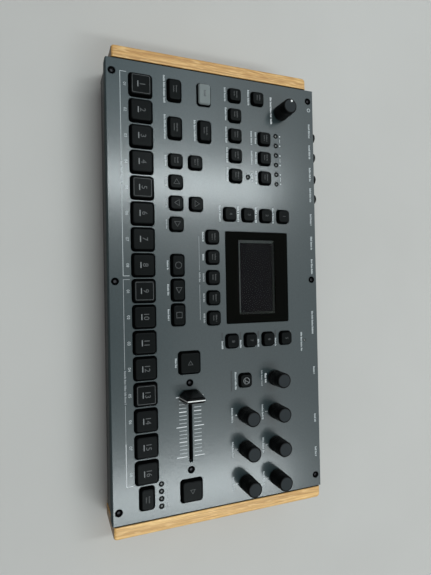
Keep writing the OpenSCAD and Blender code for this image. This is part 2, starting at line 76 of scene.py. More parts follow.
# ---------------------------------------------------------------- materials
class Nodes:
    """A material with a principled shader, and short ways to wire textures into it."""

    def __init__(self, name):
        self.mat = bpy.data.materials.new(name)
        self.mat.use_nodes = True
        self.tree = self.mat.node_tree
        self.bsdf = self.tree.nodes["Principled BSDF"]
        self.place = self.new("ShaderNodeTexCoord").outputs["Object"]

    def new(self, kind, **props):
        n = self.tree.nodes.new(kind)
        for k, v in props.items():
            setattr(n, k, v)
        return n

    def link(self, a, b):
        self.tree.links.new(a, b)

    def set(self, **values):
        for k, v in values.items():
            self.bsdf.inputs[k.replace("_", " ")].default_value = v

    def scaled(self, s, turn=0.0):
        start = self.place
        if turn:
            t = self.new("ShaderNodeMapping")
            t.inputs["Rotation"].default_value = (0.0, 0.0, turn)
            self.link(start, t.inputs["Vector"])
            start = t.outputs["Vector"]
        m = self.new("ShaderNodeMapping")
        m.inputs["Scale"].default_value = s
        self.link(start, m.inputs["Vector"])
        return m.outputs["Vector"]

    def noise(self, scale, detail=3.0, rough=0.5, stretch=None, distort=0.0, turn=0.0):
        n = self.new("ShaderNodeTexNoise")
        n.inputs["Scale"].default_value = scale
        n.inputs["Detail"].default_value = detail
        n.inputs["Roughness"].default_value = rough
        n.inputs["Distortion"].default_value = distort
        self.link(self.scaled(stretch, turn) if stretch else self.place, n.inputs["Vector"])
        return n.outputs["Fac"]

    def cells(self, scale, stretch=None):
        n = self.new("ShaderNodeTexVoronoi")
        n.inputs["Scale"].default_value = scale
        self.link(self.scaled(stretch) if stretch else self.place, n.inputs["Vector"])
        return n.outputs["Distance"]

    def range(self, fac, a, b, lo=0.0, hi=1.0):
        n = self.new("ShaderNodeMapRange")
        n.inputs["From Min"].default_value = lo
        n.inputs["From Max"].default_value = hi
        n.inputs["To Min"].default_value = a
        n.inputs["To Max"].default_value = b
        self.link(fac, n.inputs["Value"])
        return n.outputs["Result"]

    def ramp(self, fac, stops):
        n = self.new("ShaderNodeValToRGB")
        e = n.color_ramp.elements
        while len(e) < len(stops):
            e.new(0.5)
        for el, (p, c) in zip(e, stops):
            el.position = p
            el.color = (*c, 1.0)
        self.link(fac, n.inputs["Fac"])
        return n.outputs["Color"]

    def mix(self, fac, a, b, kind="MIX"):
        n = self.new("ShaderNodeMix", data_type="RGBA", blend_type=kind)
        for socket, value in ((n.inputs["Factor"], fac), (n.inputs[6], a), (n.inputs[7], b)):
            if isinstance(value, bpy.types.NodeSocket):
                self.link(value, socket)
            elif socket.name == "Factor":
                socket.default_value = value
            else:
                socket.default_value = (*value, 1.0)
        return n.outputs[2]

    def math(self, kind, a, b=0.0):
        n = self.new("ShaderNodeMath", operation=kind)
        for socket, value in ((n.inputs[0], a), (n.inputs[1], b)):
            if isinstance(value, bpy.types.NodeSocket):
                self.link(value, socket)
            else:
                socket.default_value = value
        return n.outputs[0]

    def bump(self, height, strength, distance):
        n = self.new("ShaderNodeBump")
        n.inputs["Strength"].default_value = strength
        n.inputs["Distance"].default_value = distance
        self.link(height, n.inputs["Height"])
        return n.outputs["Normal"]

    def colour(self, socket):
        self.link(socket, self.bsdf.inputs["Base Color"])

    def rough(self, socket):
        self.link(socket, self.bsdf.inputs["Roughness"])

    def normal(self, socket):
        self.link(socket, self.bsdf.inputs["Normal"])


def shade(c, k):
    return tuple(min(1.0, x * k) for x in c)


def powder(name, c, rough, grain=1500.0, strength=0.12, patch=0.06, spec=0.5, coat=None):
    """Powder-coated sheet: orange-peel bump, a faint speckle and slow changes of gloss; coat is a glossier skin, as (weight, roughness)."""
    n = Nodes(name)
    fine = n.noise(grain, 4.0, 0.6)
    mid = n.noise(grain * 0.3, 2.0, 0.5)
    slow = n.noise(9.0, 3.0, 0.55)
    speck = n.noise(grain * 1.9, 1.0, 0.5)
    cloud = n.noise(grain * 0.45, 2.0, 0.6)
    blend = n.math("ADD", n.range(slow, 0.0, 0.3, 0.3, 0.7), n.range(cloud, 0.0, 0.7, 0.3, 0.7))
    tone = n.mix(blend, shade(c, 0.84), shade(c, 1.16))
    n.colour(n.mix(n.range(speck, 0.0, 0.55, 0.58, 0.74), tone, shade(c, 1.28)))
    r = n.math("ADD", n.range(slow, rough - patch / 2, rough + patch / 2, 0.3, 0.7), n.range(fine, -0.03, 0.03))
    n.rough(n.math("ADD", r, n.range(mid, -0.025, 0.025, 0.3, 0.7)))
    peel = n.bump(n.math("ADD", fine, n.math("MULTIPLY", mid, 1.8)), strength, 0.00012)
    n.normal(peel)
    n.set(Specular_IOR_Level=spec)
    if coat:
        n.set(Coat_Weight=coat[0], Coat_Roughness=coat[1])
        n.link(peel, n.bsdf.inputs["Coat Normal"])
    return n.mat


def plastic(name, c, rough, grain=2600.0, strength=0.1, spread=0.08, worn=1.12, spec=0.5):
    """Moulded plastic: a fine spark-eroded grain with small changes of tone and gloss."""
    n = Nodes(name)
    fine = n.noise(grain, 3.0, 0.55)
    slow = n.noise(55.0, 4.0, 0.6)
    n.colour(n.mix(n.range(slow, 0.0, 1.0, 0.3, 0.72), shade(c, 0.92), shade(c, worn)))
    n.rough(n.math("ADD", n.range(slow, rough - spread / 2, rough + spread / 2, 0.3, 0.7), n.range(fine, -0.04, 0.04)))
    n.normal(n.bump(fine, strength, 0.00006))
    n.set(Specular_IOR_Level=spec)
    return n.mat


def metal(name, c, rough, stretch=(1.0, 1.0, 1.0), grain=1400.0, strength=0.06):
    n = Nodes(name)
    fine = n.noise(grain, 3.0, 0.6, stretch)
    slow = n.noise(80.0, 3.0, 0.6)
    n.set(Metallic=1.0)
    n.colour(n.mix(n.range(slow, 0.0, 1.0, 0.3, 0.7), shade(c, 0.9), shade(c, 1.06)))
    n.rough(n.math("ADD", n.range(slow, rough - 0.05, rough + 0.07, 0.3, 0.7), n.range(fine, -0.05, 0.05)))
    n.normal(n.bump(fine, strength, 0.00005))
    return n.mat


def ink(name, c, rough=0.55):
    """Screen-printed ink: slightly uneven cover."""
    n = Nodes(name)
    fine = n.noise(900.0, 4.0, 0.65)
    n.colour(n.mix(n.range(fine, 0.0, 1.0, 0.32, 0.62), shade(c, 0.82), shade(c, 1.05)))
    n.rough(n.range(fine, rough - 0.06, rough + 0.06))
    n.normal(n.bump(fine, 0.06, 0.00005))
    return n.mat


def wood(name, tone, flecks):
    """Oiled light wood with its grain along Y: growth bands, fibres and short dark pores. tone tints the board, flecks sets how strong its short figure is."""
    n = Nodes(name)

    def c(*rgb):
        return tuple(a * b for a, b in zip(rgb, tone))

    bend = n.noise(5.0, 2.0, 0.5, (4.0, 0.8, 4.0))
    bands = n.noise(1.0, 3.0, 0.55, (300.0, 5.0, 170.0), 0.6)
    streak = n.noise(1.0, 3.0, 0.6, (900.0, 9.0, 760.0), 0.3)
    wide = n.noise(1.0, 2.0, 0.5, (60.0, 3.0, 45.0), 1.2)
    fibre = n.noise(1.0, 4.0, 0.65, (2400.0, 40.0, 2400.0))
    pores = n.noise(1.0, 2.0, 0.5, (2100.0, 60.0, 2100.0))
    fleck = n.noise(1.0, 2.0, 0.55, (720.0, 85.0, 720.0), 0.2, 0.05)
    base = n.ramp(bands, [(0.27, c(0.38, 0.195, 0.062)), (0.42, c(0.54, 0.310, 0.110)), (0.58, c(0.64, 0.390, 0.150)), (0.76, c(0.73, 0.475, 0.200))])
    tint = n.mix(n.range(wide, 0.0, 0.5, 0.35, 0.7), base, c(0.50, 0.275, 0.093))
    line = n.mix(n.range(streak, 0.84, 0.0, 0.35, 0.5), tint, c(0.36, 0.178, 0.055))
    pale = n.mix(n.range(streak, 0.0, 0.62, 0.52, 0.68), line, c(0.82, 0.575, 0.285))
    deep = n.mix(n.range(fleck, 0.62 * flecks, 0.0, 0.33, 0.47), pale, c(0.40, 0.205, 0.068))
    light = n.mix(n.range(fleck, 0.0, 0.6 * flecks, 0.53, 0.66), deep, c(0.88, 0.665, 0.375))
    fib = n.mix(n.range(fibre, 0.0, 0.4, 0.35, 0.75), light, c(0.78, 0.535, 0.250))
    dark = n.range(pores, 0.38, 0.0, 0.27, 0.38)
    long_grain = n.mix(dark, fib, (0.24, 0.125, 0.05))
    # the cut ends, which face the front and the rear, are made far darker: partly the darker oiled end grain, partly
    # painted shade
    rings = n.noise(1.0, 3.0, 0.6, (420.0, 10.0, 1500.0), 0.5)
    end_grain_shade = n.mix(n.range(rings, 0.0, 1.0, 0.35, 0.65), c(0.105, 0.056, 0.021), c(0.205, 0.118, 0.047))
    facing = n.new("ShaderNodeSeparateXYZ")
    n.link(n.new("ShaderNodeNewGeometry").outputs["Normal"], facing.inputs["Vector"])
    n.colour(n.mix(n.range(n.math("ABSOLUTE", facing.outputs["Y"]), 0.0, 1.0, 0.72, 0.93), long_grain, end_grain_shade))
    n.rough(n.math("ADD", n.range(bands, 0.42, 0.58, 0.3, 0.7), n.range(bend, -0.04, 0.04)))
    n.normal(n.bump(n.math("SUBTRACT", fibre, n.math("MULTIPLY", dark, 1.4)), 0.22, 0.00012))
    return n.mat


PANEL = powder("panel_coat", (0.0235, 0.0385, 0.0415), 0.33, 1500.0, 0.12, 0.04, 0.4, (0.62, 0.165))
LIP = powder("lip_coat", (0.0235, 0.0385, 0.0415), 0.55, 1500.0, 0.12, 0.04, 0.06)
CASE = powder("case_coat", (0.012, 0.0125, 0.0135), 0.42, 1300.0, 0.14, 0.06, 0.3)
PRINT = ink("print_light", (0.48, 0.515, 0.525))
# bright ink: bright print, and also a painted highlight on one stretch of bracket
PRINT_BRIGHT_AND_SHEEN = ink("print_bright_and_sheen", (0.78, 0.80, 0.81))
PRINT_DIM = ink("print_mid", (0.30, 0.32, 0.33))
PRINT_DARK = ink("print_dark", (0.010, 0.011, 0.012))
# painted shade: the caps' sides are made far darker than their tops; on the grey function key the black sides also
# stand for its black base
CAP_SIDE_BLACK_SHADE = plastic("key_side_black_painted_shade", (0.0011, 0.0012, 0.0013), 0.6, spec=0.04)
KEY_TOP = plastic("key_top", (0.0066, 0.0078, 0.0079), 0.32, 3000.0, 0.10, spec=0.035)
GREY_TOP = plastic("grey_key_top", (0.192, 0.216, 0.214), 0.6, 3000.0, 0.14, spec=0.2)
LEGEND = ink("legend_dim", (0.062, 0.066, 0.067), 0.5)
LEGEND_LOW = ink("legend_low", (0.042, 0.045, 0.045), 0.5)
LEGEND_BAR = ink("legend_bar", (0.19, 0.20, 0.205), 0.45)
LEGEND_DARK = ink("legend_dark", (0.070, 0.078, 0.080), 0.5)
KNOB = plastic("knob_side", (0.0020, 0.0022, 0.0023), 0.45, 2200.0, 0.16, spec=0.09)
KNOB_TOP = plastic("knob_top", (0.021, 0.0255, 0.028), 0.6, 2400.0, 0.2, spec=0.15)
WHITE = ink("white_mark", (0.80, 0.80, 0.78), 0.4)
FADER = plastic("fader_cap", (0.0014, 0.0015, 0.0016), 0.32, 2000.0, 0.06, spec=0.14)
WOODS = [wood("left_wood", (1.0, 0.91, 0.74), 1.0), wood("right_wood", (1.24, 1.20, 1.05), 0.55)]
SCREW = plastic("black_oxide", (0.0010, 0.0010, 0.0012), 0.55, 1400.0, 0.1, spec=0.012)
SCREW_CORE = metal("worn_socket", (0.042, 0.042, 0.045), 0.44)
MASK = plastic("window_mask", (0.0011, 0.0014, 0.0009), 0.06, 900.0, 0.004, 0.02, spec=0.03)
GAP_STRIP_BLACK = plastic("gap_strip_black", (0.0016, 0.0016, 0.0016), 0.85, 1600.0, 0.3, spec=0.02)
RUBBER = plastic("foot_rubber", (0.010, 0.010, 0.010), 0.75, 1200.0, 0.3, spec=0.3)
SOCKET = plastic("socket_plastic", (0.006, 0.006, 0.0065), 0.42, 1800.0, 0.1, spec=0.35)
JACK = plastic("jack_plastic", (0.0020, 0.0020, 0.0022), 0.5, 1800.0, 0.1, spec=0.08)
BUTTON = plastic("button_plastic", (0.022, 0.022, 0.023), 0.48, 2000.0, 0.1, spec=0.4)
NICKEL = metal("nickel", (0.62, 0.60, 0.56), 0.24)
STEEL = metal("plain_steel", (0.42, 0.43, 0.44), 0.36, (1.0, 0.08, 1.0))
GOLD = metal("contact_gold", (0.75, 0.52, 0.18), 0.26)
TONGUE = plastic("tongue_white", (0.62, 0.62, 0.60), 0.45)
BOARD = plastic("board_mask", (0.01, 0.07, 0.035), 0.35, 500.0, 0.1)
INNER = plastic("inner_black", (0.012, 0.012, 0.013), 0.5)
LENS = plastic("lamp_ring", (0.0015, 0.0016, 0.0016), 0.4, 700.0, 0.02, spec=0.06)
# pale lamp cores: partly the lamps' own pale lens, partly a painted highlight
LAMP_CORE_GLINT = plastic("lamp_core_pale_and_glint", (0.16, 0.168, 0.166), 0.28, 700.0, 0.05, spec=0.45)
LCD = plastic("screen_off", (0.0095, 0.0092, 0.0107), 0.2, 700.0, 0.01, 0.04, spec=0.03)
FADER_METAL = metal("black_plated", (0.012, 0.012, 0.013), 0.55, (1.0, 0.2, 1.0))
# painted light and shade: one bezel finish in a lit copy and a shaded copy
BEZEL_LIT = plastic("screen_edge", (0.125, 0.142, 0.136), 0.4, 900.0, 0.02, spec=0.05)
BEZEL_SHADED = plastic("screen_edge_painted_shade", (0.042, 0.048, 0.043), 0.4, 900.0, 0.02, spec=0.05)


# ---------------------------------------------------------------- shapes
def arc(cx, cy, r, a0, a1, n):
    return [(cx + r * math.cos(math.radians(a0 + (a1 - a0) * i / n)),
             cy + r * math.sin(math.radians(a0 + (a1 - a0) * i / n))) for i in range(n + 1)]


def rrect(w, d, r, n=8, at=(0.0, 0.0)):
    """A rounded rectangle, counter-clockwise."""
    x, y = at
    r = max(min(r, w / 2 - 0.01, d / 2 - 0.01), 0.01)
    return (arc(x + w / 2 - r, y + d / 2 - r, r, 0, 90, n) + arc(x - w / 2 + r, y + d / 2 - r, r, 90, 180, n)
            + arc(x - w / 2 + r, y - d / 2 + r, r, 180, 270, n) + arc(x + w / 2 - r, y - d / 2 + r, r, 270, 360, n))


def circle(r, n=32, at=(0.0, 0.0), turn=0.0):
    return [(at[0] + r * math.cos(2 * math.pi * i / n + turn), at[1] + r * math.sin(2 * math.pi * i / n + turn)) for i in range(n)]


AXIS_Y = Matrix(((0, 1, 0, 0), (0, 0, 1, 0), (1, 0, 0, 0), (0, 0, 0, 1)))     # local z becomes +Y, local x becomes +Z
AXIS_X = Matrix(((0, 0, 1, 0), (1, 0, 0, 0), (0, 1, 0, 0), (0, 0, 0, 1)))     # local z becomes +X, local x becomes +Y


class Shape:
    """Faces in plan millimetres, collected under the transform T, then made into one object."""

    def __init__(self):
        self.v, self.f, self.m = [], [], []
        self.T = Matrix.Identity(4)

    def at(self, x=0.0, y=0.0, z=0.0, axis=None):
        self.T = Matrix.Translation((x, y, z)) @ (axis if axis is not None else Matrix.Identity(4))
        return self

    def add(self, verts, faces, mat=0):
        base = len(self.v)
        flip = self.T.to_3x3().determinant() < 0
        self.v += [tuple(self.T @ Vector(p)) for p in verts]
        for k, f in enumerate(faces):
            g = tuple(base + i for i in f)
            self.f.append(g[::-1] if flip else g)
            self.m.append(mat[k] if isinstance(mat, list) else mat)

    def loft(self, rings, mat=0, bottom=True, top=True):
        """Skins rings of equal length; mat is an index, or one for each band."""
        n = len(rings[0])
        verts = [p for r in rings for p in r]
        faces, mats = [], []
        for i in range(len(rings) - 1):
            m = mat[i] if isinstance(mat, list) else mat
            for j in range(n):
                k = (j + 1) % n
                faces.append((i * n + j, i * n + k, (i + 1) * n + k, (i + 1) * n + j))
                mats.append(m)
        if bottom:
            faces.append(tuple(range(n - 1, -1, -1)))
            mats.append(mat[0] if isinstance(mat, list) else mat)
        if top:
            faces.append(tuple((len(rings) - 1) * n + j for j in range(n)))
            mats.append(mat[-1] if isinstance(mat, list) else mat)
        self.add(verts, faces, mats)

    def lathe(self, prof, n=48, mat=0, bottom=True, top=True, ribs=None):
        """Turns (r, z) points about local Z. ribs = (first ring, last ring, count, depth) cuts upright flutes."""
        if ribs:
            n = ribs[2] * 6
        rings = []
        for i, (r, z) in enumerate(prof):
            ring = []
            for j in range(n):
                a = 2 * math.pi * j / n
                k = r
                if ribs and ribs[0] <= i <= ribs[1]:
                    k = r - ribs[3] * (0.5 - 0.5 * math.cos(2 * math.pi * (j % 6) / 6)) ** 1.5
                ring.append((k * math.cos(a), k * math.sin(a), z))
            rings.append(ring)
        self.loft(rings, mat, bottom, top)

    def fill(self, outer, holes, z, up=True, mat=0):
        """A flat face with holes."""
        loops = [[Vector((x, y, 0.0)) for x, y in loop] for loop in [outer] + holes]
        flat = [p for loop in loops for p in loop]
        faces = []
        for a, b, c in tessellate_polygon(loops):
            p, q, r = flat[a], flat[b], flat[c]
            area = (q - p).cross(r - p).z
            if abs(area) < 1e-9:
                continue
            faces.append((a, b, c) if (area > 0) == up else (a, c, b))
        self.add([(p.x, p.y, z) for p in flat], faces, mat)

    def plate(self, outer, holes, z0, z1, edge=0.25, mat=0, steps=3, under=True, sides=True):
        """A sheet with rounded upper edges. outer and each hole are functions of an outward offset."""
        self.fill(outer(-edge) if sides else outer(0.0), [h(edge) for h in holes], z1, True, mat)
        for shape, sign in ([(outer, -1)] if sides else []) + [(h, 1) for h in holes]:
            rings = []
            for i in range(steps + 1):
                a = math.pi / 2 * i / steps
                rings.append([(x, y, z1 - edge + edge * math.cos(a)) for x, y in shape(sign * edge * (1 - math.sin(a)))])
            rings.append([(x, y, z0) for x, y in shape(0.0)])
            if sign < 0:
                rings = rings[::-1]
            self.loft(rings, mat, False, False)
        if under:
            self.fill(outer(0.0), [h(0.0) for h in holes], z0, False, mat)

    def box(self, x, y, z, edge=0.3, mat=0, steps=2):
        """A block with rounded edges, given by its ranges."""
        bm = bmesh.new()
        bmesh.ops.create_cube(bm, size=1.0)
        for v in bm.verts:
            v.co = ((x[0] + x[1]) / 2 + v.co.x * (x[1] - x[0]), (y[0] + y[1]) / 2 + v.co.y * (y[1] - y[0]), (z[0] + z[1]) / 2 + v.co.z * (z[1] - z[0]))
        if edge > 0:
            bmesh.ops.bevel(bm, geom=bm.edges[:], offset=edge, segments=steps, profile=0.5, affect="EDGES")
        bm.verts.index_update()
        self.add([tuple(v.co) for v in bm.verts], [tuple(v.index for v in f.verts) for f in bm.faces], mat)
        bm.free()

    def stroke(self, pts, width, z, mat=0, closed=False):
        """A flat line of even width along points, with mitred corners."""
        p = [Vector(q) for q in pts]
        n = len(p)
        left, right = [], []
        for i in range(n):
            a = p[i] - p[i - 1] if (closed or i > 0) else p[1] - p[0]
            b = p[(i + 1) % n] - p[i] if (closed or i < n - 1) else a
            a, b = a.normalized(), b.normalized()
            na, nb = Vector((-a.y, a.x)), Vector((-b.y, b.x))
            m = (na + nb)
            m = m.normalized() if m.length > 1e-6 else na
            k = width / 2 / max(m.dot(na), 0.35)
            left.append(p[i] + m * k)
            right.append(p[i] - m * k)
        verts = [(q.x, q.y, z) for q in left] + [(q.x, q.y, z) for q in right]
        faces = [(i, n + i, n + (i + 1) % n, (i + 1) % n) for i in range(n if closed else n - 1)]
        self.add(verts, faces, mat)

    def bar(self, x0, x1, y0, y1, z, mat=0):
        self.add([(x0, y0, z), (x1, y0, z), (x1, y1, z), (x0, y1, z)], [(0, 1, 2, 3)], mat)

    def label(self, x0, x1, y, z, h=0.9, mat=0, seed=1):
        """A blank label: small uneven blocks that fill a width, as a placeholder for wording."""
        x, s, run = x0, seed * 7919 + int(abs(x0) * 10), 0
        while x < x1 - 0.2:
            s = (s * 1103515245 + 12345) & 0x7FFFFFFF
            e = min(x + 0.42 + 0.36 * ((s >> 8) % 100) / 100.0, x1)
            rise = 0.32 if (s >> 16) % 10 < 3 or run == 0 else 0.0
            self.bar(x, e, y - h / 2, y + h * (0.5 + rise), z, mat)
            run += 1
            gap = 0.24
            if run > 3 + (s >> 20) % 5:
                run, gap = 0, 0.75
            x = e + gap

    def digits(self, text, x, y, z, height, mat=0):
        verts, faces = glyph(text)
        self.add([(x + a * height, y + b * height, z) for a, b in verts], faces, mat)

    def make(self, name, mats, body, replaces=(), slot=None, angle=40.0, weighted=True):
        me = bpy.data.meshes.new(name)
        me.from_pydata([(x / 1000, (y + YC) / 1000, z / 1000) for x, y, z in self.v], [], self.f)
        for m in mats:
            me.materials.append(m)
        me.polygons.foreach_set("material_index", self.m)
        me.polygons.foreach_set("use_smooth", [True] * len(me.polygons))
        me.validate()
        me.set_sharp_from_angle(angle=math.radians(angle))
        ob = bpy.data.objects.new(name, me)
        scene.collection.objects.link(ob)
        if weighted:
            w = ob.modifiers.new("even_normals", "WEIGHTED_NORMAL")
            w.keep_sharp = True
        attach(ob, body)
        if replaces:
            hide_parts(*replaces)
        return ob


GLYPHS = {}


def glyph(text):
    """Outline of a plain number, one unit high and centred, as flat faces."""
    if text not in GLYPHS:
        cu = bpy.data.curves.new("digits", "FONT")
        cu.body = text
        cu.resolution_u = 5
        ob = bpy.data.objects.new("digits", cu)
        scene.collection.objects.link(ob)
        bpy.context.view_layer.update()
        me = bpy.data.meshes.new_from_object(ob.evaluated_get(bpy.context.evaluated_depsgraph_get()))
        pts = [(v.co.x, v.co.y) for v in me.vertices]
        polys = [tuple(p.vertices) for p in me.polygons]
        good = []
        for f in polys:
            area = sum(pts[f[i]][0] * pts[f[(i + 1) % len(f)]][1] - pts[f[(i + 1) % len(f)]][0] * pts[f[i]][1] for i in range(len(f)))
            if abs(area) > 1e-7:
                good.append(f if area > 0 else f[::-1])
        x0, x1 = min(p[0] for p in pts), max(p[0] for p in pts)
        y0, y1 = min(p[1] for p in pts), max(p[1] for p in pts)
        k = 1.0 / (y1 - y0)
        GLYPHS[text] = ([((x - (x0 + x1) / 2) * k, (y - (y0 + y1) / 2) * k) for x, y in pts], good)
        bpy.data.objects.remove(ob)
        bpy.data.curves.remove(cu)
        bpy.data.meshes.remove(me)
    return GLYPHS[text]


# ---------------------------------------------------------------- layout
TRIG = [(-152.0 + 19.1 * i, -62.35) for i in range(16)]
FUNC, PAGE = (-152.0, -12.4), (153.5, -62.6)
FKEY = [(56.3, -28.1), (153.6, -28.1)]
MOVE = [(-18.3 + 18.85 * i, -36.2) for i in range(3)]
BANK = [(-123.0, -12.4), (-152.0, -36.4), (-123.0, -36.4)]
CURSOR = [(-97.9, -20.4), (-65.7, -20.4)] + [(-97.9 + 16.1 * i, -36.4) for i in range(4)]
MODE = [(-155.3 + 16.2 * i, 13.8) for i in range(5)] + [(-155.3, 34.2)]
RECORDER = [(-122.9 + 16.2 * i, 39.9) for i in range(3)]
TRACK = [(x, 56.0 - 16.05 * j) for x in (-59.3, 41.9) for j in range(4)]
PARAM = [(-40.6 + 15.9 * i, -7.4) for i in range(5)]
TEMPO = (74.0, 18.5)
VOLUME, LEVEL = (-146.4, 55.9), (74.0, 45.2)
DATA = [(101.2 + 27.1 * i, 45.2 - 27.3 * j) for j in range(2) for i in range(3)]
FADE = (105.0, -28.0)
LAMPS = [(-126.8 + 8.05 * i, 51.1) for i in range(6)] + [(-90.5, 24.7)] + [(145.0 + 5.5 * i, -51.6) for i in range(4)]
CARD_LAMP = (45.0, 75.2)
SCREWS = [(x, y) for x in (-160.5, -6.5, 160.5) for y in (-83.2, 83.2)] + [(71.8, -28.0), (138.2, -28.0)]
WINDOW, WINDOW_S = (-8.8, 31.7), (73.6, 55.8)
SMALL = 11.8


def rr_hole(c, w, d, r, n=8):
    return lambda o: rrect(w + 2 * o, d + 2 * o, r + o, n, c)


def round_hole(c, r, n=32):
    return lambda o: circle(r + o, n, c)


# ---------------------------------------------------------------- top panel
def top_panel():
    holes = [rr_hole(p, 18, 18, 2.7) for p in TRIG + FKEY]
    holes += [rr_hole(p, 18, SMALL, 2.7) for p in [FUNC, PAGE] + BANK]
    holes += [rr_hole(p, 17.6, 11.5, 2.7) for p in MOVE]
    holes += [rr_hole(p, SMALL, SMALL, 2.9) for p in CURSOR + MODE + RECORDER + TRACK + PARAM + [TEMPO]]
    holes += [rr_hole(WINDOW, WINDOW_S[0] + 0.4, WINDOW_S[1] + 0.4, 1.2), rr_hole(FADE, 55, 2.9, 1.4)]
    holes += [round_hole(p, 4.5) for p in [VOLUME, LEVEL] + DATA]
    holes += [round_hole(p, 1.95, 24) for p in LAMPS] + [round_hole(CARD_LAMP, 1.15, 20)]
    s = Shape()
    bend, edge = 0.9, 0.3
    y0 = FRONT + bend
    # the flat of the sheet, up to where the front fold starts
    sink = [round_hole(p, 2.9, 28) for p in SCREWS]
    outer = [(-HALF + edge, y0), (HALF - edge, y0), (HALF - edge, REAR - edge), (-HALF + edge, REAR - edge)]
    s.fill(outer, [h(0.22) for h in holes] + [h(0.05) for h in sink], TOP)
    s.fill([(-HALF, y0), (HALF, y0), (HALF, REAR), (-HALF, REAR)], [h(0.0) for h in holes] + [circle(1.6, 28, p) for p in SCREWS], UNDER, False)
    for h in holes:
        s.loft([[(x, y, TOP) for x, y in h(0.22)], [(x, y, TOP - 0.03) for x, y in h(0.11)], [(x, y, TOP - 0.11) for x, y in h(0.03)],
                [(x, y, TOP - 0.24) for x, y in h(0.0)], [(x, y, UNDER) for x, y in h(0.0)]], 0, False, False)
    for p in SCREWS:
        s.loft([[(x, y, TOP) for x, y in circle(2.95, 28, p)], [(x, y, TOP - 0.05) for x, y in circle(2.88, 28, p)],
                [(x, y, UNDER + 0.2) for x, y in circle(1.6, 28, p)], [(x, y, UNDER) for x, y in circle(1.6, 28, p)]], 0, False, False)
    # rear and side edges
    prof = [(edge, TOP), (edge * 0.6, TOP - 0.03), (edge * 0.25, TOP - 0.1), (0.06, TOP - 0.2), (0.0, TOP - edge), (0.0, UNDER)]
    for side in (-1, 1):
        a = [(side * (HALF - i), y0, z) for i, z in prof]
        b = [(side * (HALF - i), REAR - i, z) for i, z in prof]
        s.add(a + b, [(k, len(prof) + k, len(prof) + k + 1, k + 1) if side < 0 else (k, k + 1, len(prof) + k + 1, len(prof) + k) for k in range(len(prof) - 1)])
    a = [(-HALF + i, REAR - i, z) for i, z in prof]
    b = [(HALF - i, REAR - i, z) for i, z in prof]
    s.add(a + b, [(k, len(prof) + k, len(prof) + k + 1, k + 1) for k in range(len(prof) - 1)])
    # front fold and lip
    n = 8
    outside = [(FRONT + bend - bend * math.sin(math.pi / 2 * i / n), TOP - bend + bend * math.cos(math.pi / 2 * i / n)) for i in range(n + 1)]
    outside += [(FRONT, TOP - 9.25), (FRONT + 0.08, TOP - 9.43), (FRONT + 0.25, TOP - 9.5)]
    inside = [(FRONT + 1.5, TOP - 9.5), (FRONT + 1.5, UNDER), (y0, UNDER)]
    path = outside + inside
    m = len(path)
    half_bend = n // 2
    finish = [0 if k < half_bend else 1 for k in range(m - 1)]

    def section(x, inset, drop):
        """The fold's outline at x, drawn in by inset towards a rounded corner and worn down by drop at its top."""
        pts = []
        for y, z in path:
            if y < y0 and z <= TOP and y < FRONT + 1.4:
                y += inset * (y0 - y) / bend
            pts.append((x, y, min(z, TOP - drop)))
        return pts

    ends = [(1.0, 0.0, 0.0), (0.72, 0.04, 0.0), (0.5, 0.134, 0.0), (0.3, 0.286, 0.0), (0.18, 0.43, 0.03), (0.075, 0.62, 0.1), (0.018, 0.78, 0.2), (0.0, 0.85, 0.3)]
    rows = [section(-HALF + i, inset, drop) for i, inset, drop in ends[::-1]] + [section(HALF - i, inset, drop) for i, inset, drop in ends]
    for near, far in zip(rows, rows[1:]):
        s.add(near + far, [(k, k + 1, m + k + 1, m + k) for k in range(m - 1)], finish)
    s.add(rows[0], [tuple(range(m))[::-1]], 1)
    s.add(rows[-1], [tuple(range(m))], 1)
    s.make("panel_sheet", [PANEL, LIP], "case", ["top_panel"], "panel_paint", 50.0)


top_panel()


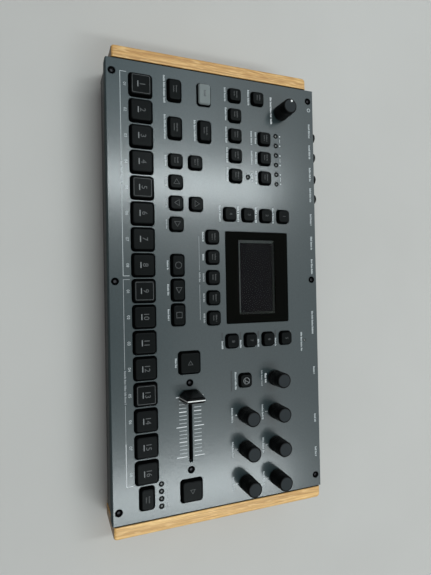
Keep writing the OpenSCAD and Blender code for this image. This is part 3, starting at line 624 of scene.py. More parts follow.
# ---------------------------------------------------------------- printed marks
def panel_print():
    s = Shape()
    z = TOP + 0.02
    rear = [(-140.6, -128.4), (-122.5, -110.6), (-103, -91), (-85.4, -73.4), (-63, -53.4), (-43.5, -32), (-24, -11),
            (20.5, 39.8), (68, 74.4), (108.5, 115.7), (136.6, 144.8)]
    for k, (a, b) in enumerate(rear):
        s.label(a, b, 83.1 if k == 7 else 83.7, z, 1.3, 0, k + 3)
    # headphone place: a plain ring
    s.stroke(circle(1.35, 20, (-152.9, 83.9)), 0.5, z, 0, True)
    s.label(-158.8, -141.4, 46.9, z, 1.25, 3, 2)
    s.label(-140.6, -136.5, 46.9, z, 1.25, 3, 5)
    s.label(-162, -149.5, 26.3, z, 1.15, 0, 6)
    for k, (a, b) in enumerate([(-161, -150), (-145, -134), (-129.5, -117), (-113, -101), (-97, -85)]):
        s.label(a, b, (5.6, 6.1, 6.1, 6.6, 6.6)[k], z, 1.15, 0, 11 + k)
    for k, x in enumerate((-122.9, -106.7)):
        s.label(x - 5, x + 5, 32.2, z, 1.05, 0, 21 + k)
        s.label(x - 5.6, x + 5.6, 28.4, z, 1.05, 0, 24 + k)
    s.label(-96, -85.5, 32.2, z, 1.05, 0, 28)
    s.label(-94, -87, 28.4, z, 1.05, 0, 29)
    for x in (-126.8, -110.6, -94.7):   # lamp pairs joined by a rule
        s.bar(x - 0.5, x + 0.5, 54.3, 55.4, z, 0)
        s.bar(x + 7.5, x + 8.5, 54.3, 55.4, z, 0)
        s.bar(x + 2.4, x + 5.6, 54.7, 55.0, z, 0)
    for j in range(4):
        y = 46.9 - 15.83 * j
        s.label(-66, -60.4, y, z, 1.05, 0, 31 + j)
        s.label(-59.8, -53.5, y, z, 1.05, 0, 35 + j)
        s.label(35, 41, y, z, 1.05, 2, 41 + j)
        s.label(41.6, 48, y, z, 1.05, 0, 45 + j)
    s.label(38, 54, 71.8, z, 1.15, 0, 51)
    for k, (a, b) in enumerate([(-44.5, -37.2), (-27.2, -22.2), (-12, -5.8), (3.6, 10.2), (19.2, 26.8)]):
        s.label(a, b, -15.3, z, 1.05, 0 if k < 2 else 1, 53 + k)
    s.bar(-41, -14.5, -18.65, -18.35, z, 1)
    s.bar(-3.5, 24, -18.65, -18.35, z, 1)
    s.label(-13, -5, -18.5, z, 0.9, 1, 59)
    for k, (a, b) in enumerate([(-22, -15), (-4, 4.5), (15, 23.5)]):
        s.label(a, b, -43.9, z, 1.05, 0, 61 + k)
    s.label(52.5, 59.8, -38.9, z, 1.15, 0, 65)
    s.label(-131.5, -115, -20.4, z, 1.15, 0, 66)
    s.label(-163, -142, -44.3, z, 1.15, 0, 67)
    s.label(-133, -113.5, -44.3, z, 1.15, 0, 68)
    s.label(-102, -94, -44.2, z, 1.05, 0, 69)
    for k, x in enumerate((-81.8, -65.7, -49.6)):
        s.label(x - 3.4, x + 3.4, -44.2, z, 0.8, 1, 71 + k)
    s.label(70, 77.8, 37.0, z, 1.3, 3, 75)
    s.label(67.4, 80.6, 33.6, z, 1.15, 1, 76)
    for k, (x, y) in enumerate(DATA):
        row = (37.2, 33.6) if k < 3 else (10.2, 6.6)
        s.digits(str(k + 1), x, row[0], z, 1.9, 3)
        w = (6.0, 6.2, 5.6)[k % 3]
        s.label(x - w, x + w, row[1], z, 1.15, 0, 81 + k)
    s.label(67, 80.8, 10.2, z, 1.15, 0, 88)
    s.label(65.5, 81.8, 6.6, z, 1.0, 2, 89)
    for k, (x, y) in enumerate(LAMPS[7:]):
        s.bar(x - 1.5, x - 0.5, -47.6, -46.7, z, 1)
        s.bar(x + 0.5, x + 1.5, -47.6, -46.7, z, 1)
    # numbers and brackets below the step keys
    for i, (x, y) in enumerate(TRIG):
        s.digits("%02d" % (i % 8 + 1), x, -73.9, z, 2.1, 0)
    w = 0.42
    s.stroke([(-161, -72.6), (-161, -77.3), (-95.2, -77.3)], w, z, 0)
    s.stroke([(-77.5, -77.3), (-10.5, -77.3), (-10.5, -72.6)], w, z, 0)
    s.stroke([(-7.8, -72.6), (-7.8, -77.3), (58.0, -77.3)], w, z, 1)
    s.stroke([(84.0, -77.3), (112, -77.3)], w, z, 1)
    # painted highlight: the last stretch of this bracket and its tick use the bright ink, where the panel's sheen falls
    s.stroke([(112, -77.3), (143, -77.3), (143, -72.6)], w, z, 3)
    s.label(-94.5, -78.2, -77.3, z, 1.05, 0, 95)
    s.label(58.8, 83.2, -77.3, z, 1.05, 1, 96)
    # crossfader scale
    for i in range(17):
        x = 82.2 + 2.85 * i
        long = i in (0, 8, 16)
        strong = long or i in (4, 12)
        t = 0.62 if strong else 0.5
        m = 3 if strong else 0
        s.bar(x - t / 2, x + t / 2, -25.1, -17.1 if long else -19.2, z, m)
        s.bar(x - t / 2, x + t / 2, -39.2 if long else -36.9, -31.0, z, m)
    s.make("panel_print", [PRINT, PRINT_DIM, PRINT_DARK, PRINT_BRIGHT_AND_SHEEN], "case", (), "panel_paint", weighted=False)


panel_print()


# ---------------------------------------------------------------- keys
def cap(s, c, cut, r=2.4, k=1.0, side=0, top=1, bands=3):
    """One key: a cap with steep rounded sides and a flat top, its flange under the panel and its stem."""
    w, d = cut[0] - 0.6, cut[1] - 0.6
    s.at(c[0], c[1])
    steps = [(0.0, 43.9), (0.0, 46.35), (0.05, 46.6), (0.22, 47.05), (0.55, 47.8), (0.88, 48.45), (1.08, 48.8), (1.28, 49.0), (1.52, 49.12), (1.8, 49.18), (2.1, 49.2)]
    rings = [[(x, y, z) for x, y in rrect(w - 2 * i * k, d - 2 * i * k, max(r - 0.5 * i * k, 0.9))] for i, z in steps]
    n = len(steps) - 1
    # painted shade: the lower bands take the dark side colour, the last bands the lighter top colour
    s.loft(rings, [side] * (n - bands) + [top] * bands, True, True)
    s.loft([[(x, y, z) for x, y in rrect(cut[0] + 0.6, cut[1] + 0.6, r + 0.3, 4)] for z in (43.1, 44.15)], side)
    s.lathe([(1.35, 38.4), (1.6, 38.7), (1.6, 43.2)], 20, side)
    s.at()
    return w - 4.2 * k, d - 4.2 * k


Z_KEY = 49.2 + 0.015


def arrow(s, c, way, size=2.3, width=0.3, mat=2):
    """An outlined triangle that points one way."""
    turn = {"right": 0, "up": 90, "left": 180, "down": 270}[way]
    a = math.radians(turn)
    pts = [(-0.75 * size, size), (-0.75 * size, -size), (0.85 * size, 0.0)]
    s.stroke([(c[0] + x * math.cos(a) - y * math.sin(a), c[1] + x * math.sin(a) + y * math.cos(a)) for x, y in pts], width, Z_KEY, mat, True)


KEY_MATS = [CAP_SIDE_BLACK_SHADE, KEY_TOP, LEGEND, LEGEND_BAR, LEGEND_LOW]

for i, c in enumerate(TRIG):
    s = Shape()
    cap(s, c, (18, 18))
    s.digits(str(i + 1), c[0], c[1] + 1.1, Z_KEY, 4.0, 2)
    s.bar(c[0] - 2.2, c[0] + 2.2, c[1] - 2.75, c[1] - 2.05, Z_KEY, 3)
    if i % 4 == 0:
        s.stroke(rrect(13.0, 13.0, 0.9, 4, c), 0.3, Z_KEY, 2, True)
    name = "trig_key_%02d" % (i + 1)
    s.make("step_cap_%02d" % (i + 1), KEY_MATS, name, [name], "key_black")


def single_key(node, c, cut, draw, mats=None, slot="key_black", r=2.4, k=1.0, bands=3):
    s = Shape()
    cap(s, c, cut, r, k, bands=bands)
    draw(s, c)
    s.make(node + "_cap", mats or KEY_MATS, node, [node], slot)


def word(w, seed, h=0.8, mat=4):
    """A blank legend of two short rows."""
    def draw(s, c):
        s.label(c[0] - w / 2, c[0] + w / 2, c[1] + 1.0, Z_KEY, h, mat, seed)
        s.label(c[0] - 0.41 * w, c[0] + 0.41 * w, c[1] - 1.2, Z_KEY, h * 0.85, 4, seed + 50)
    return draw


single_key("func_key", FUNC, (18, SMALL), lambda s, c: s.label(c[0] - 2.9, c[0] + 2.9, c[1] - 0.2, Z_KEY, 1.5, 2, 3), [CAP_SIDE_BLACK_SHADE, GREY_TOP, LEGEND_DARK, LEGEND_BAR, GREY_TOP], "key_grey", bands=6)
single_key("page_key", PAGE, (18, SMALL), word(5.0, 4))
single_key("fader_key_left", FKEY[0], (18, 18), lambda s, c: arrow(s, c, "left", 1.8))
single_key("fader_key_right", FKEY[1], (18, 18), lambda s, c: arrow(s, c, "right", 1.8))
single_key("record_key", MOVE[0], (17.6, 11.5), lambda s, c: s.stroke(circle(2.4, 32, c), 0.36, Z_KEY, 2, True))
single_key("play_key", MOVE[1], (17.6, 11.5), lambda s, c: s.stroke([(c[0] - 1.9, c[1] - 2.3), (c[0] + 2.2, c[1]), (c[0] - 1.9, c[1] + 2.3)], 0.36, Z_KEY, 2, True))
single_key("stop_key", MOVE[2], (17.6, 11.5), lambda s, c: s.stroke([(c[0] - 2.1, c[1] - 2.1), (c[0] + 2.1, c[1] - 2.1), (c[0] + 2.1, c[1] + 2.1), (c[0] - 2.1, c[1] + 2.1)], 0.36, Z_KEY, 2, True))


def key_group(node, places, cut, draws, r=2.4, k=1.0):
    s = Shape()
    for c, draw in zip(places, draws):
        cap(s, c, cut, r, k)
        draw(s, c)
    s.make(node + "_caps", KEY_MATS, node, [node], "key_black")


def way(name):
    return lambda s, c: arrow(s, c, name)


def number(n):
    return lambda s, c: s.digits(str(n), c[0], c[1], Z_KEY, 2.4, 2)


key_group("bank_keys", BANK, (18, SMALL), [word(6.4, 7), word(6.0, 8), word(6.6, 9)])
key_group("cursor_keys", CURSOR, (SMALL, SMALL), [word(5.0, 12), way("up"), word(4.6, 13), way("left"), way("down"), way("right")], 2.6, 0.72)
key_group("mode_keys", MODE, (SMALL, SMALL), [word(5.4, 14 + i) for i in range(6)], 2.6, 0.72)
key_group("recorder_keys", RECORDER, (SMALL, SMALL), [word(5.4, 22 + i) for i in range(3)], 2.6, 0.72)
key_group("track_keys", TRACK, (SMALL, SMALL), [number(i + 1) for i in range(8)], 2.6, 0.72)
key_group("param_keys", PARAM, (SMALL, SMALL), [word(5.2, 32 + i) for i in range(5)], 2.6, 0.72)


def tempo_mark(s, c):
    s.stroke(circle(2.5, 28, c), 0.42, Z_KEY, 3, True)
    s.stroke([(c[0] - 0.5, c[1] - 1.3), (c[0] + 1.9, c[1] + 2.8)], 0.42, Z_KEY + 0.005, 3)
    s.stroke([(c[0] - 1.6, c[1] - 1.3), (c[0] + 1.6, c[1] - 1.3)], 0.4, Z_KEY + 0.01, 3)


key_group("tempo_key", [TEMPO], (SMALL, SMALL), [tempo_mark], 2.6, 0.72)


# ---------------------------------------------------------------- knobs
def knob(node, c, dot=None):
    s = Shape().at(c[0], c[1], TOP)
    prof = [(5.0, 2.3), (5.0, 0.75), (5.9, 0.7), (6.28, 0.78), (6.4, 1.0), (6.4, 3.3), (6.3, 3.55), (6.02, 3.66), (6.02, 3.95), (6.2, 4.1),
            (6.24, 4.3), (6.2, 10.6), (6.15, 10.8), (5.95, 10.9), (5.95, 11.1), (6.12, 11.2), (6.12, 11.9), (5.95, 12.0), (5.95, 12.2), (6.1, 12.3), (6.1, 13.0),
            (5.95, 13.1), (5.95, 13.3), (6.08, 13.4), (6.05, 15.75), (5.95, 16.25), (5.72, 16.6), (5.42, 16.78), (5.2, 16.8), (5.05, 16.72), (4.9, 16.70), (0.02, 16.70)]
    mats = [0] * (len(prof) - 1)
    mats[-1] = 1
    s.lathe(prof, 72, mats, True, False, (10, 11, 30, 0.22))
    s.lathe([(3.0, -8.0), (3.0, 2.4)], 32, 2)
    if dot is not None:
        a = math.radians(dot)
        s.at(c[0] - 4.35 * math.sin(a), c[1] + 4.35 * math.cos(a), TOP + 16.70)
        s.lathe([(0.95, 0.0), (0.95, 0.05), (0.8, 0.1), (0.01, 0.12)], 24, 3, False, False)
    s.at()
    s.make(node + "_cap", [KNOB, KNOB_TOP, STEEL, WHITE], node, [node], "knob_black", 50.0)


knob("volume_knob", VOLUME, 72.0)
knob("level_knob", LEVEL)
for letter, c in zip("abcdef", DATA):
    knob("data_knob_" + letter, c)


# ---------------------------------------------------------------- crossfader
def crossfader():
    s = Shape().at(FADE[0] - 22.8, FADE[1], TOP)
    steps = [(0.8, 5.1, 8.5), (0.95, 5.35, 8.75), (1.7, 5.4, 8.8), (2.0, 5.3, 8.75), (2.6, 4.9, 8.62), (3.6, 4.45, 8.48), (5.2, 3.95, 8.3), (7.4, 3.42, 8.08), (9.6, 2.98, 7.85),
             (11.8, 2.6, 7.6), (13.6, 2.36, 7.38), (14.8, 2.2, 7.22), (15.35, 2.06, 7.12), (15.7, 1.84, 7.02), (15.98, 1.4, 6.92), (16.26, 0.86, 6.82), (16.45, 0.5, 6.74), (16.5, 0.4, 6.7)]
    rings = []
    for z, a, b in steps:
        t = min(1.9, a * 0.55)
        m = b * (0.53 + 0.25 * z / 16.5)
        rings.append([(a, -m, z), (a, 0.0, z), (a, m, z), ((a + t) / 2, (m + b) / 2, z), (t, b - 0.12, z), (0.0, b, z), (-t, b - 0.12, z), (-(a + t) / 2, (m + b) / 2, z),
                      (-a, m, z), (-a, 0.0, z), (-a, -m, z), (-(a + t) / 2, -(m + b) / 2, z), (-t, -b + 0.12, z), (0.0, -b, z), (t, -b + 0.12, z), ((a + t) / 2, -(m + b) / 2, z)])
    s.loft(rings)
    # white line over the ridge and down both ends
    prof = [(b, z) for z, a, b in steps[2:]]
    path = [(-b - 0.04, z + 0.015) for b, z in prof] + [(b + 0.04, z + 0.015) for b, z in prof[::-1]]
    w = 0.42
    verts = [(-w, y, z) for y, z in path] + [(w, y, z) for y, z in path]
    n = len(path)
    s.add(verts, [(k, n + k, n + k + 1, k + 1) for k in range(n - 1)], 1)
    s.box((-2.5, 2.5), (-0.6, 0.6), (-8.5, 1.0), 0.15, 2)
    s.at()
    s.make("fader_handle", [FADER, WHITE, STEEL], "crossfader_cap", ["crossfader_cap"], "fader_black", 28.0)


crossfader()


# ---------------------------------------------------------------- screws
def hex_screw(s, top, r, socket, depth, skirt):
    """A screw head with a hexagon socket; top is the height of its face and skirt the rest of its outline, down to the shank."""
    hexa = [(socket * math.cos(math.radians(60 * i + 10)), socket * math.sin(math.radians(60 * i + 10))) for i in range(6)]
    big = [(x * 1.1, y * 1.1) for x, y in hexa]
    ring = circle(r - 0.3, 36)
    s.fill(ring, [big], top)
    rounds = [(r - 0.3, top), (r - 0.12, top - 0.04), (r - 0.02, top - 0.14), (r, top - 0.28)] + skirt
    s.loft([[(k * math.cos(2 * math.pi * j / 36), k * math.sin(2 * math.pi * j / 36), z) for j in range(36)] for k, z in rounds[::-1]], 0, True, False)
    s.loft([[(x, y, top - depth) for x, y in hexa], [(x, y, top - 0.12) for x, y in hexa], [(x, y, top) for x, y in big]][::-1], 1, False, True)


def screws():
    s = Shape()
    for p in SCREWS:
        s.at(p[0], p[1])
        hex_screw(s, TOP - 0.02, 2.75, 1.25, 0.9, [(1.45, TOP - 1.2), (1.4, TOP - 4.5)])
    s.at()
    s.make("panel_bolts", [SCREW, SCREW_CORE], "case", ["panel_screws"], "screw_black", 35.0)
    s = Shape()
    for side in (-1, 1):
        for y in (-55.0, 55.0):
            s.T = Matrix.Diagonal((side, 1, 1, 1)) @ Matrix.Translation((176.9, y, 25.0)) @ AXIS_X
            hex_screw(s, 2.4, 2.9, 1.5, 1.3, [(2.9, 0.0), (1.5, 0.0), (1.5, -11.0)])
    s.at()
    s.make("cheek_bolts", [SCREW, SCREW_CORE], "case", ["cheek_screws"], "screw_black", 35.0)


screws()


# ---------------------------------------------------------------- lamps
def lamps():
    s = Shape()
    for p in LAMPS:
        s.at(p[0], p[1])
        s.lathe([(2.4, 34.1), (2.4, 36.0), (1.8, 36.1), (1.8, TOP - 0.35), (1.62, TOP - 0.16), (1.2, TOP - 0.08), (0.92, TOP - 0.10), (0.84, TOP - 0.22)], 28, 0, True, False)
        # pale core: partly the lens itself, partly a painted highlight
        s.lathe([(0.84, TOP - 0.22), (0.76, TOP - 0.12), (0.58, TOP + 0.01), (0.34, TOP + 0.07), (0.02, TOP + 0.1)], 28, 1, False, False)
    s.at(*CARD_LAMP)
    s.lathe([(1.0, 40.6), (1.0, TOP - 0.3), (0.8, TOP - 0.16), (0.4, TOP - 0.1), (0.02, TOP - 0.08)], 20, [0, 0, 1, 1], True, False)
    s.at()
    s.make("lamp_lenses", [LENS, LAMP_CORE_GLINT], "case", ["status_leds"], "lamp_lens")


lamps()


# ---------------------------------------------------------------- display
def window_glass():
    n = Nodes("window_glass")
    fine = n.noise(60.0, 4.0, 0.6)
    n.set(Transmission_Weight=1.0, IOR=1.1)
    n.colour(n.mix(n.range(fine, 0.0, 1.0, 0.3, 0.7), (0.70, 0.71, 0.71), (0.76, 0.77, 0.77)))
    n.rough(n.range(fine, 0.02, 0.055, 0.3, 0.75))
    return n.mat


def display():
    glass = window_glass()
    s = Shape()
    clear = rr_hole((-9.1, 31.5), 60.2, 32.6, 0.6, 5)
    outer = rr_hole(WINDOW, WINDOW_S[0], WINDOW_S[1], 1.0)
    # black printed border, one sheet with a clear middle
    s.plate(outer, [clear], 44.8, TOP + 0.1, 0.18, 0)
    # clear middle
    s.plate(lambda o: rrect(60.2 + 2 * o, 32.6 + 2 * o, 0.6, 5, (-9.1, 31.5)), [], 45.2, TOP + 0.1, 0.0002, 1)
    s.make("display_glass", [MASK, glass], "case", ["display_window"], "window_black", 40.0)
    # the module behind it: a bezel with a bevelled opening and the dark screen
    s = Shape()
    body = rr_hole((-8.8, 31.0), 64.4, 46.0, 1.0, 4)
    screen = rr_hole((-8.9, 31.95), 56.4, 29.3, 0.6, 4)
    ring = rr_hole((-9.0, 31.5), 62.4, 35.2, 0.6, 4)
    s.fill(body(0.0), [ring(0.0)], 44.7)
    rings = [[(x, y, 44.7) for x, y in ring(0.0)], [(x, y, 44.6) for x, y in ring(-0.9)], [(x, y, 43.5) for x, y in screen(0.12)], [(x, y, 43.4) for x, y in screen(0.0)]]
    for k in range(3):   # painted light and shade: the bezel sides towards -X and towards the front get the lit colour, the other two the shaded one
        m = len(rings[0])
        quads = [(j, (j + 1) % m, m + (j + 1) % m, m + j) for j in range(m)]
        bezel_light_side = []
        for j in range(m):
            x, y = rings[0][j][0] + rings[0][(j + 1) % m][0] + 18.0, rings[0][j][1] + rings[0][(j + 1) % m][1] - 63.0
            bezel_light_side.append(1 if x / 62.4 + y / 35.2 < 0 else 3)
        s.add(rings[k] + rings[k + 1], quads, bezel_light_side)
    s.fill(screen(0.0), [], 43.4, True, 2)
    s.loft([[(x, y, 34.1) for x, y in body(0.0)], [(x, y, 44.7) for x, y in body(0.0)]], 0, True, False)
    s.make("screen_unit", [MASK, BEZEL_LIT, LCD, BEZEL_SHADED], "case", ["display_module"], "screen_dark", 30.0)


display()


# ---------------------------------------------------------------- wooden cheeks
def cheeks():
    for side, node, inset in ((-1, "left_cheek", (4.5, 6.5)), (1, "right_cheek", (1.0, 0.5))):
        s = Shape()
        z0, z1 = 3.5, TOP

        def outline(front, rear, edge):
            def corner(y, z, r, a0, n):
                k = max(r - 0.5 * edge, 0.8)
                return arc(y - k if y > 0 else y + k, z - k if z > 20 else z + k, k, a0, a0 + 90, n)
            y0, y1 = FRONT + inset[0] + front, REAR - inset[1] - rear
            return (corner(y1, z1 - edge, 2.5, 0, 8) + corner(y0, z1 - edge, 2, 90, 8)
                    + corner(y0, z0 + edge, 2, 180, 8) + corner(y1, z0 + edge, 4, 270, 8))

        def sink(x, start, r):
            return r - math.sqrt(max(r * r - max(x - start, 0.0) ** 2, 0.0))

        steps = [(170.9, 0.2, 0.2, 0.2), (170.93, 0.11, 0.11, 0.11), (171.0, 0.03, 0.03, 0.03), (171.1, 0.0, 0.0, 0.0)]
        for x in (174.0, 176.0, 177.0, 177.6, 178.0, 178.4, 178.8, 179.2, 179.5, 179.75, 179.92, 180.0):
            steps.append((x, sink(x, 178.0, 2.0), sink(x, 177.0, 3.0), sink(x, 178.4, 1.6)))
        s.T = Matrix.Diagonal((side, 1, 1, 1)) @ AXIS_X
        s.loft([[(y, z, x) for y, z in outline(f, b, e)] for x, f, b, e in steps], 0, True, False)
        bores = [(-55.0, 25.0), (55.0, 25.0)]
        s.fill(outline(*steps[-1][1:]), [circle(3.5, 32, b) for b in bores], 180.0)
        for b in bores:
            s.loft([[(x, y, 180.0) for x, y in circle(3.5, 32, b)], [(x, y, 179.9) for x, y in circle(3.32, 32, b)], [(x, y, 179.6) for x, y in circle(3.2, 32, b)],
                    [(x, y, 176.8) for x, y in circle(3.2, 32, b)]], 0, False, True)
            # the pad that keeps the board off the case
            s.loft([[(x, y, z) for x, y in circle(6.0, 40, b)] for z in (169.85, 170.95)], 0, True, False)
        s.at()
        s.make(node + "_board", [WOODS[0 if side < 0 else 1]], "case", [node], "wood", 40.0)
    # black strips that fill the gap between panel and boards and keep it dark
    s = Shape()
    for side, start, end in ((-1, -82.6, 80.6), (1, -86.0, 86.4)):
        s.box((side * 170.46 - 0.4, side * 170.46 + 0.4), (start, end), (32.0, 45.3), 0.12)
    s.make("gap_strips", [GAP_STRIP_BLACK], "case", (), "case_black", 40.0)


cheeks()


# ---------------------------------------------------------------- tray, rear panel, feet
def tray():
    s = Shape()
    x1, y0, y1 = 169.8, FRONT + 1.7, 85.8
    r, t, n = 1.8, 1.2, 6
    # floor with bent-up front and sides; the rear is open for the rear panel
    def wall(path, a, b):
        m = len(path)
        s.add([a(p) for p in path] + [b(p) for p in path], [(k, k + 1, m + k + 1, m + k) for k in range(m - 1)])

    # outer skin of the front wall: from its top, down and round to the floor
    outer = [(y0, 44.35), (y0, 5 + r)] + [(y0 + r - r * math.cos(math.pi / 2 * i / n), 5 + r - r * math.sin(math.pi / 2 * i / n)) for i in range(1, n + 1)]
    wall(outer, lambda p: (-x1 + r, p[0], p[1]), lambda p: (x1 - r, p[0], p[1]))
    inner = [(y0 + t, 44.35), (y0 + t, 6.2), (y1, 6.2)]
    wall(inner[::-1], lambda p: (-x1 + t, p[0], p[1]), lambda p: (x1 - t, p[0], p[1]))
    s.add([(-x1 + t, y0, 44.35), (x1 - t, y0, 44.35), (x1 - t, y0 + t, 44.35), (-x1 + t, y0 + t, 44.35)], [(0, 1, 2, 3)])
    # floor
    s.add([(-x1 + r, y0 + r, 5.0), (x1 - r, y0 + r, 5.0), (x1 - r, y1, 5.0), (-x1 + r, y1, 5.0)], [(3, 2, 1, 0)])
    for side in (-1, 1):
        f = (lambda q: q) if side > 0 else (lambda q: tuple(q[::-1]))
        path = [(x1 - r + r * math.sin(math.pi / 2 * i / n), 5 + r - r * math.cos(math.pi / 2 * i / n)) for i in range(n + 1)] + [(x1, 44.35), (x1 - t, 44.35), (x1 - t, 6.2)]
        m = len(path)
        a = [(side * x, y0 + 0.02, z) for x, z in path]
        b = [(side * x, y1, z) for x, z in path]
        s.add(a + b, [f((k, k + 1, m + k + 1, m + k)) for k in range(m - 1)])
        s.add(a, [f(tuple(range(m))[::-1])])
        s.add(b, [f(tuple(range(m)))])
    s.add([(-x1 + t, y1, 5.0), (x1 - t, y1, 5.0), (x1 - t, y1, 6.2), (-x1 + t, y1, 6.2)], [(3, 2, 1, 0)])
    for x in (-160.5, -6.5, 160.5):
        s.box((x - 5, x + 5), (y0 + t - 0.05, -78.7), (43.0, 44.35), 0.2)
    s.make("tray_sheet", [CASE], "case", ["bottom_tray"], "case_black", 40.0)


tray()

JACK_HI, JACK_LO = 33.0, 17.0
STACK = [-133.5, -115.8, -96.2, -78.8]
PHONES = -153.0
DIN, DIN_Z = [-58.0, -37.8, -17.5], 20.5
PORT_Z = 15.6
CARD_X, USB_X, DC_X, POWER_X, POWER_Z = 30.0, 71.0, 112.0, 140.7, 20.0


def rear_panel():
    s = Shape()
    # local x is +Z and local y is +X, so that local z points to the rear
    s.T = AXIS_Y.copy()
    jacks = [(JACK_LO, PHONES)] + [(z, x) for x in STACK for z in (JACK_LO, JACK_HI)]
    holes = [round_hole(p, 4.5) for p in jacks] + [round_hole((DIN_Z, x), 8.1, 48) for x in DIN]
    holes += [rr_hole((PORT_Z, CARD_X), 6, 46, 1.0, 4), rr_hole((PORT_Z, USB_X), 8.8, 9.4, 0.8, 4)]
    holes += [rr_hole((PORT_Z, DC_X), 10.4, 10.4, 0.7, 4), round_hole((POWER_Z, POWER_X), 4.4, 36)]
    s.plate(lambda o: rrect(39.2 + 2 * o, 336.8 + 2 * o, 0.6, 3, (24.8, 0.0)), holes, 86.0, 87.5, 0.22)
    s.at()
    for x in (-160.5, -6.5, 160.5):
        s.box((x - 5, x + 5), (78.7, 86.05), (43.0, 44.35), 0.2)
    s.make("rear_sheet", [CASE], "case", ["rear_panel"], "case_black", 40.0)
    # blank marks over the sockets, printed on the plate
    s = Shape()
    s.T = Matrix(((-1, 0, 0, 0), (0, 0, 1, 87.52), (0, 1, 0, 0), (0, 0, 0, 1)))
    marks = [(x, 41.6, 8) for x in STACK] + [(x, 33.2, 9) for x in DIN] + [(CARD_X, 21.6, 18), (USB_X, 22.6, 7), (DC_X, 24.0, 7), (POWER_X, 27.2, 8)]
    for k, (x, z, w) in enumerate(marks):
        s.label(-x - w / 2, -x + w / 2, z, 0.0, 0.9, 0, 101 + k)
    s.stroke(circle(1.2, 20, (-PHONES, 25.6)), 0.36, 0.0, 0, True)
    s.at()
    s.make("rear_print", [PRINT_DIM], "case", (), "case_black", weighted=False)


rear_panel()


def sockets():
    # audio jacks: threaded noses with a rounded mouth
    s = Shape()
    thread = []
    y = 88.6
    while y < 94.4:
        thread += [(4.4, y), (4.4, y + 0.22), (4.2, y + 0.36), (4.2, y + 0.5)]
        y += 0.64
    nose = [(4.4, 85.0)] + thread + [(4.4, 94.6), (4.4, 95.1), (4.3, 95.55), (4.05, 95.88), (3.75, 96.0), (3.55, 95.95), (3.36, 95.75), (3.26, 95.4), (3.25, 95.0), (3.25, 66.0), (0.02, 66.0)]
    mats = [0] * (len(nose) - 1)
    mats[-2] = 1
    for x, z in [(PHONES, JACK_LO)] + [(x, z) for x in STACK for z in (JACK_LO, JACK_HI)]:
        s.at(x, 0.0, z, AXIS_Y)
        s.lathe(nose, 40, mats, False, False)
    s.at()
    for x in [PHONES] + STACK:
        s.box((x - 8, x + 8), (63.0, 85.8), (9.65, 25.0 if x == PHONES else 41.0), 0.5)
    s.make("jack_noses", [JACK, STEEL], "case", ["audio_jacks"], "socket_black", 40.0)

    # round five-pin sockets
    s = Shape()
    for x in DIN:
        s.at(x, 0.0, DIN_Z, AXIS_Y)
        s.lathe([(7.9, 85.0), (7.9, 87.75), (7.8, 87.94), (7.6, 88.0), (7.15, 88.0), (6.98, 87.92), (6.9, 87.75), (6.9, 79.0)], 56, [0, 0, 0, 0, 1, 1, 1], False, False)
        pins = [(-4.4 * math.sin(math.radians(a)), 4.4 * math.cos(math.radians(a))) for a in (0, 45, 90, 135, 180)]
        s.fill(circle(6.9, 56), [circle(0.8, 16, p) for p in pins], 79.0)
        for p in pins:
            s.loft([[(u, v, 79.0) for u, v in circle(0.8, 16, p)], [(u, v, 75.2) for u, v in circle(0.8, 16, p)]], 2, False, True)
        s.at()
        s.box((x - 9.4, x + 9.4), (72.0, 78.8), (9.65, 30.5), 0.4)
    s.make("round_sockets", [SOCKET, NICKEL, GOLD], "case", ["midi_sockets"], "socket_black", 40.0)

    # square data socket: bright shell, white tongue and four contacts
    s = Shape()
    s.T = AXIS_Y.copy()
    s.plate(rr_hole((PORT_Z, USB_X), 11.4, 12.0, 0.5, 4), [rr_hole((PORT_Z, USB_X), 7.9, 8.6, 0.9, 4)], 69.5, 85.8, 0.25, 0)
    s.fill(rrect(7.9, 8.6, 0.9, 4, (PORT_Z, USB_X)), [], 75.5, True, 2)
    s.at()
    s.box((USB_X - 2.8, USB_X + 2.8), (75.0, 84.4), (PORT_Z - 1.6, PORT_Z + 1.6), 0.3, 1)
    for dx in (-1.25, 1.25):
        s.box((USB_X + dx - 0.5, USB_X + dx + 0.5), (76.0, 84.0), (PORT_Z + 1.55, PORT_Z + 1.7), 0.04, 3)
        s.box((USB_X + dx - 0.5, USB_X + dx + 0.5), (76.0, 84.0), (PORT_Z - 1.7, PORT_Z - 1.55), 0.04, 3)
    s.make("data_socket", [NICKEL, TONGUE, INNER, GOLD], "case", ["usb_socket"], "socket_metal", 40.0)

    # power inlet: black body with a bright centre pin
    s = Shape()
    s.T = AXIS_Y.copy()
    s.plate(rr_hole((PORT_Z, DC_X), 11.4, 14.0, 0.6, 4), [round_hole((PORT_Z, DC_X), 2.9, 36)], 72.0, 85.8, 0.3, 0)
    s.fill(circle(2.9, 36, (PORT_Z, DC_X)), [], 76.0, True, 0)
    s.at(DC_X, 0.0, PORT_Z, AXIS_Y)
    s.lathe([(1.0, 76.0), (1.0, 84.5), (0.85, 84.85), (0.55, 85.05), (0.02, 85.1)], 24, 1, False, False)
    s.at()
    s.make("power_inlet", [SOCKET, NICKEL], "case", ["dc_inlet"], "socket_black", 40.0)

    # power button
    s = Shape().at(POWER_X, 0.0, POWER_Z, AXIS_Y)
    s.lathe([(2.0, 77.0), (2.0, 85.6), (3.9, 85.6), (4.0, 85.75), (4.0, 90.4), (3.9, 90.75), (3.6, 91.0), (3.2, 91.1), (2.4, 91.05), (1.4, 90.95), (0.02, 90.9)], 44, 0, True, False)
    s.at()
    s.make("power_cap", [BUTTON], "power_button", ["power_button"], "knob_black", 40.0)


sockets()


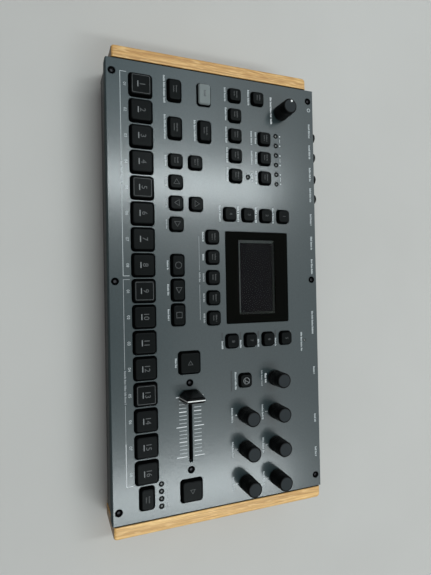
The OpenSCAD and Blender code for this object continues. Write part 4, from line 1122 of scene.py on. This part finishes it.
def feet():
    s = Shape()
    for x in (-148.0, 148.0):
        for y in (-68.0, 66.0):
            s.at(x, y)
            s.lathe([(1.6, 2.4), (2.8, 2.4), (3.0, 2.2), (3.0, 0.5), (3.2, 0.15), (3.6, 0.0), (7.3, 0.0), (7.8, 0.12), (8.1, 0.5), (8.8, 4.2), (9.0, 4.98)][::-1], 48, 0, False, False)
            s.lathe([(9.0, 4.98), (0.02, 4.98)], 48, 0, False, False)
            s.T = Matrix.Translation((x, y, 2.2)) @ Matrix.Rotation(math.pi, 4, "X")
            hex_screw(s, 1.0, 2.8, 1.2, 0.8, [(2.8, 0.0), (1.5, -0.3)])
    s.at()
    s.make("rubber_feet", [RUBBER, SCREW_CORE], "case", ["feet"], "foot_rubber", 40.0)


feet()


# ---------------------------------------------------------------- carried-over CAD nodes
def dress(node, mat):
    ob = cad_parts[node]
    ob.data.materials.clear()
    ob.data.materials.append(mat)


dress("circuit_boards", BOARD)
dress("key_switches", INNER)
dress("encoders", STEEL)
dress("fader_body", FADER_METAL)
dress("card_slot", STEEL)


# ---------------------------------------------------------------- stage and light
def stage():
    n = Nodes("floor_pale")
    slow = n.noise(2.5, 4.0, 0.6)
    fine = n.noise(240.0, 4.0, 0.6)
    n.colour(n.mix(n.range(slow, 0.0, 1.0, 0.3, 0.7), (0.52, 0.505, 0.48), (0.575, 0.56, 0.535)))
    n.rough(n.range(fine, 0.62, 0.78))
    n.normal(n.bump(fine, 0.05, 0.0004))
    bm = bmesh.new()
    bmesh.ops.create_grid(bm, x_segments=24, y_segments=24, size=3.0)
    me = bpy.data.meshes.new("floor")
    bm.to_mesh(me)
    bm.free()
    me.materials.append(n.mat)
    ob = bpy.data.objects.new("floor", me)
    scene.collection.objects.link(ob)

    world = bpy.data.worlds.new("studio")
    world.use_nodes = True
    bg = world.node_tree.nodes["Background"]
    bg.inputs["Color"].default_value = (0.95, 0.98, 1.0, 1.0)
    # the room is darker low down on the player's side
    coord = world.node_tree.nodes.new("ShaderNodeTexCoord")
    lean = world.node_tree.nodes.new("ShaderNodeVectorMath")
    lean.operation = "DOT_PRODUCT"
    lean.inputs[1].default_value = (0.0, 0.8, 0.6)
    fade = world.node_tree.nodes.new("ShaderNodeMapRange")
    for k, v in (("From Min", -0.7), ("From Max", -0.1), ("To Min", 0.03), ("To Max", 0.33)):
        fade.inputs[k].default_value = v
    world.node_tree.links.new(coord.outputs["Generated"], lean.inputs[0])
    world.node_tree.links.new(lean.outputs["Value"], fade.inputs["Value"])
    world.node_tree.links.new(fade.outputs["Result"], bg.inputs["Strength"])
    scene.world = world

    def strip(name, loc, size, power, tint=(0.90, 0.985, 1.0)):
        data = bpy.data.lights.new(name, "AREA")
        data.shape = "RECTANGLE"
        data.size, data.size_y = size
        data.energy = power
        data.color = tint
        ob = bpy.data.objects.new(name, data)
        scene.collection.objects.link(ob)
        ob.location = loc

    strip("ceiling_left", (-0.469, 0.35, 1.546), (0.13, 1.04), 8.9)
    strip("ceiling_right", (0.865, 0.36, 1.546), (0.19, 1.06), 10.4)
    strip("rear_fill", (0.0, 0.9, 1.75), (3.2, 1.0), 7.0, (0.97, 0.99, 1.0))
    strip("left_fill", (-1.15, 0.2, 1.62), (1.0, 0.9), 1.5, (0.62, 0.88, 1.0))


stage()
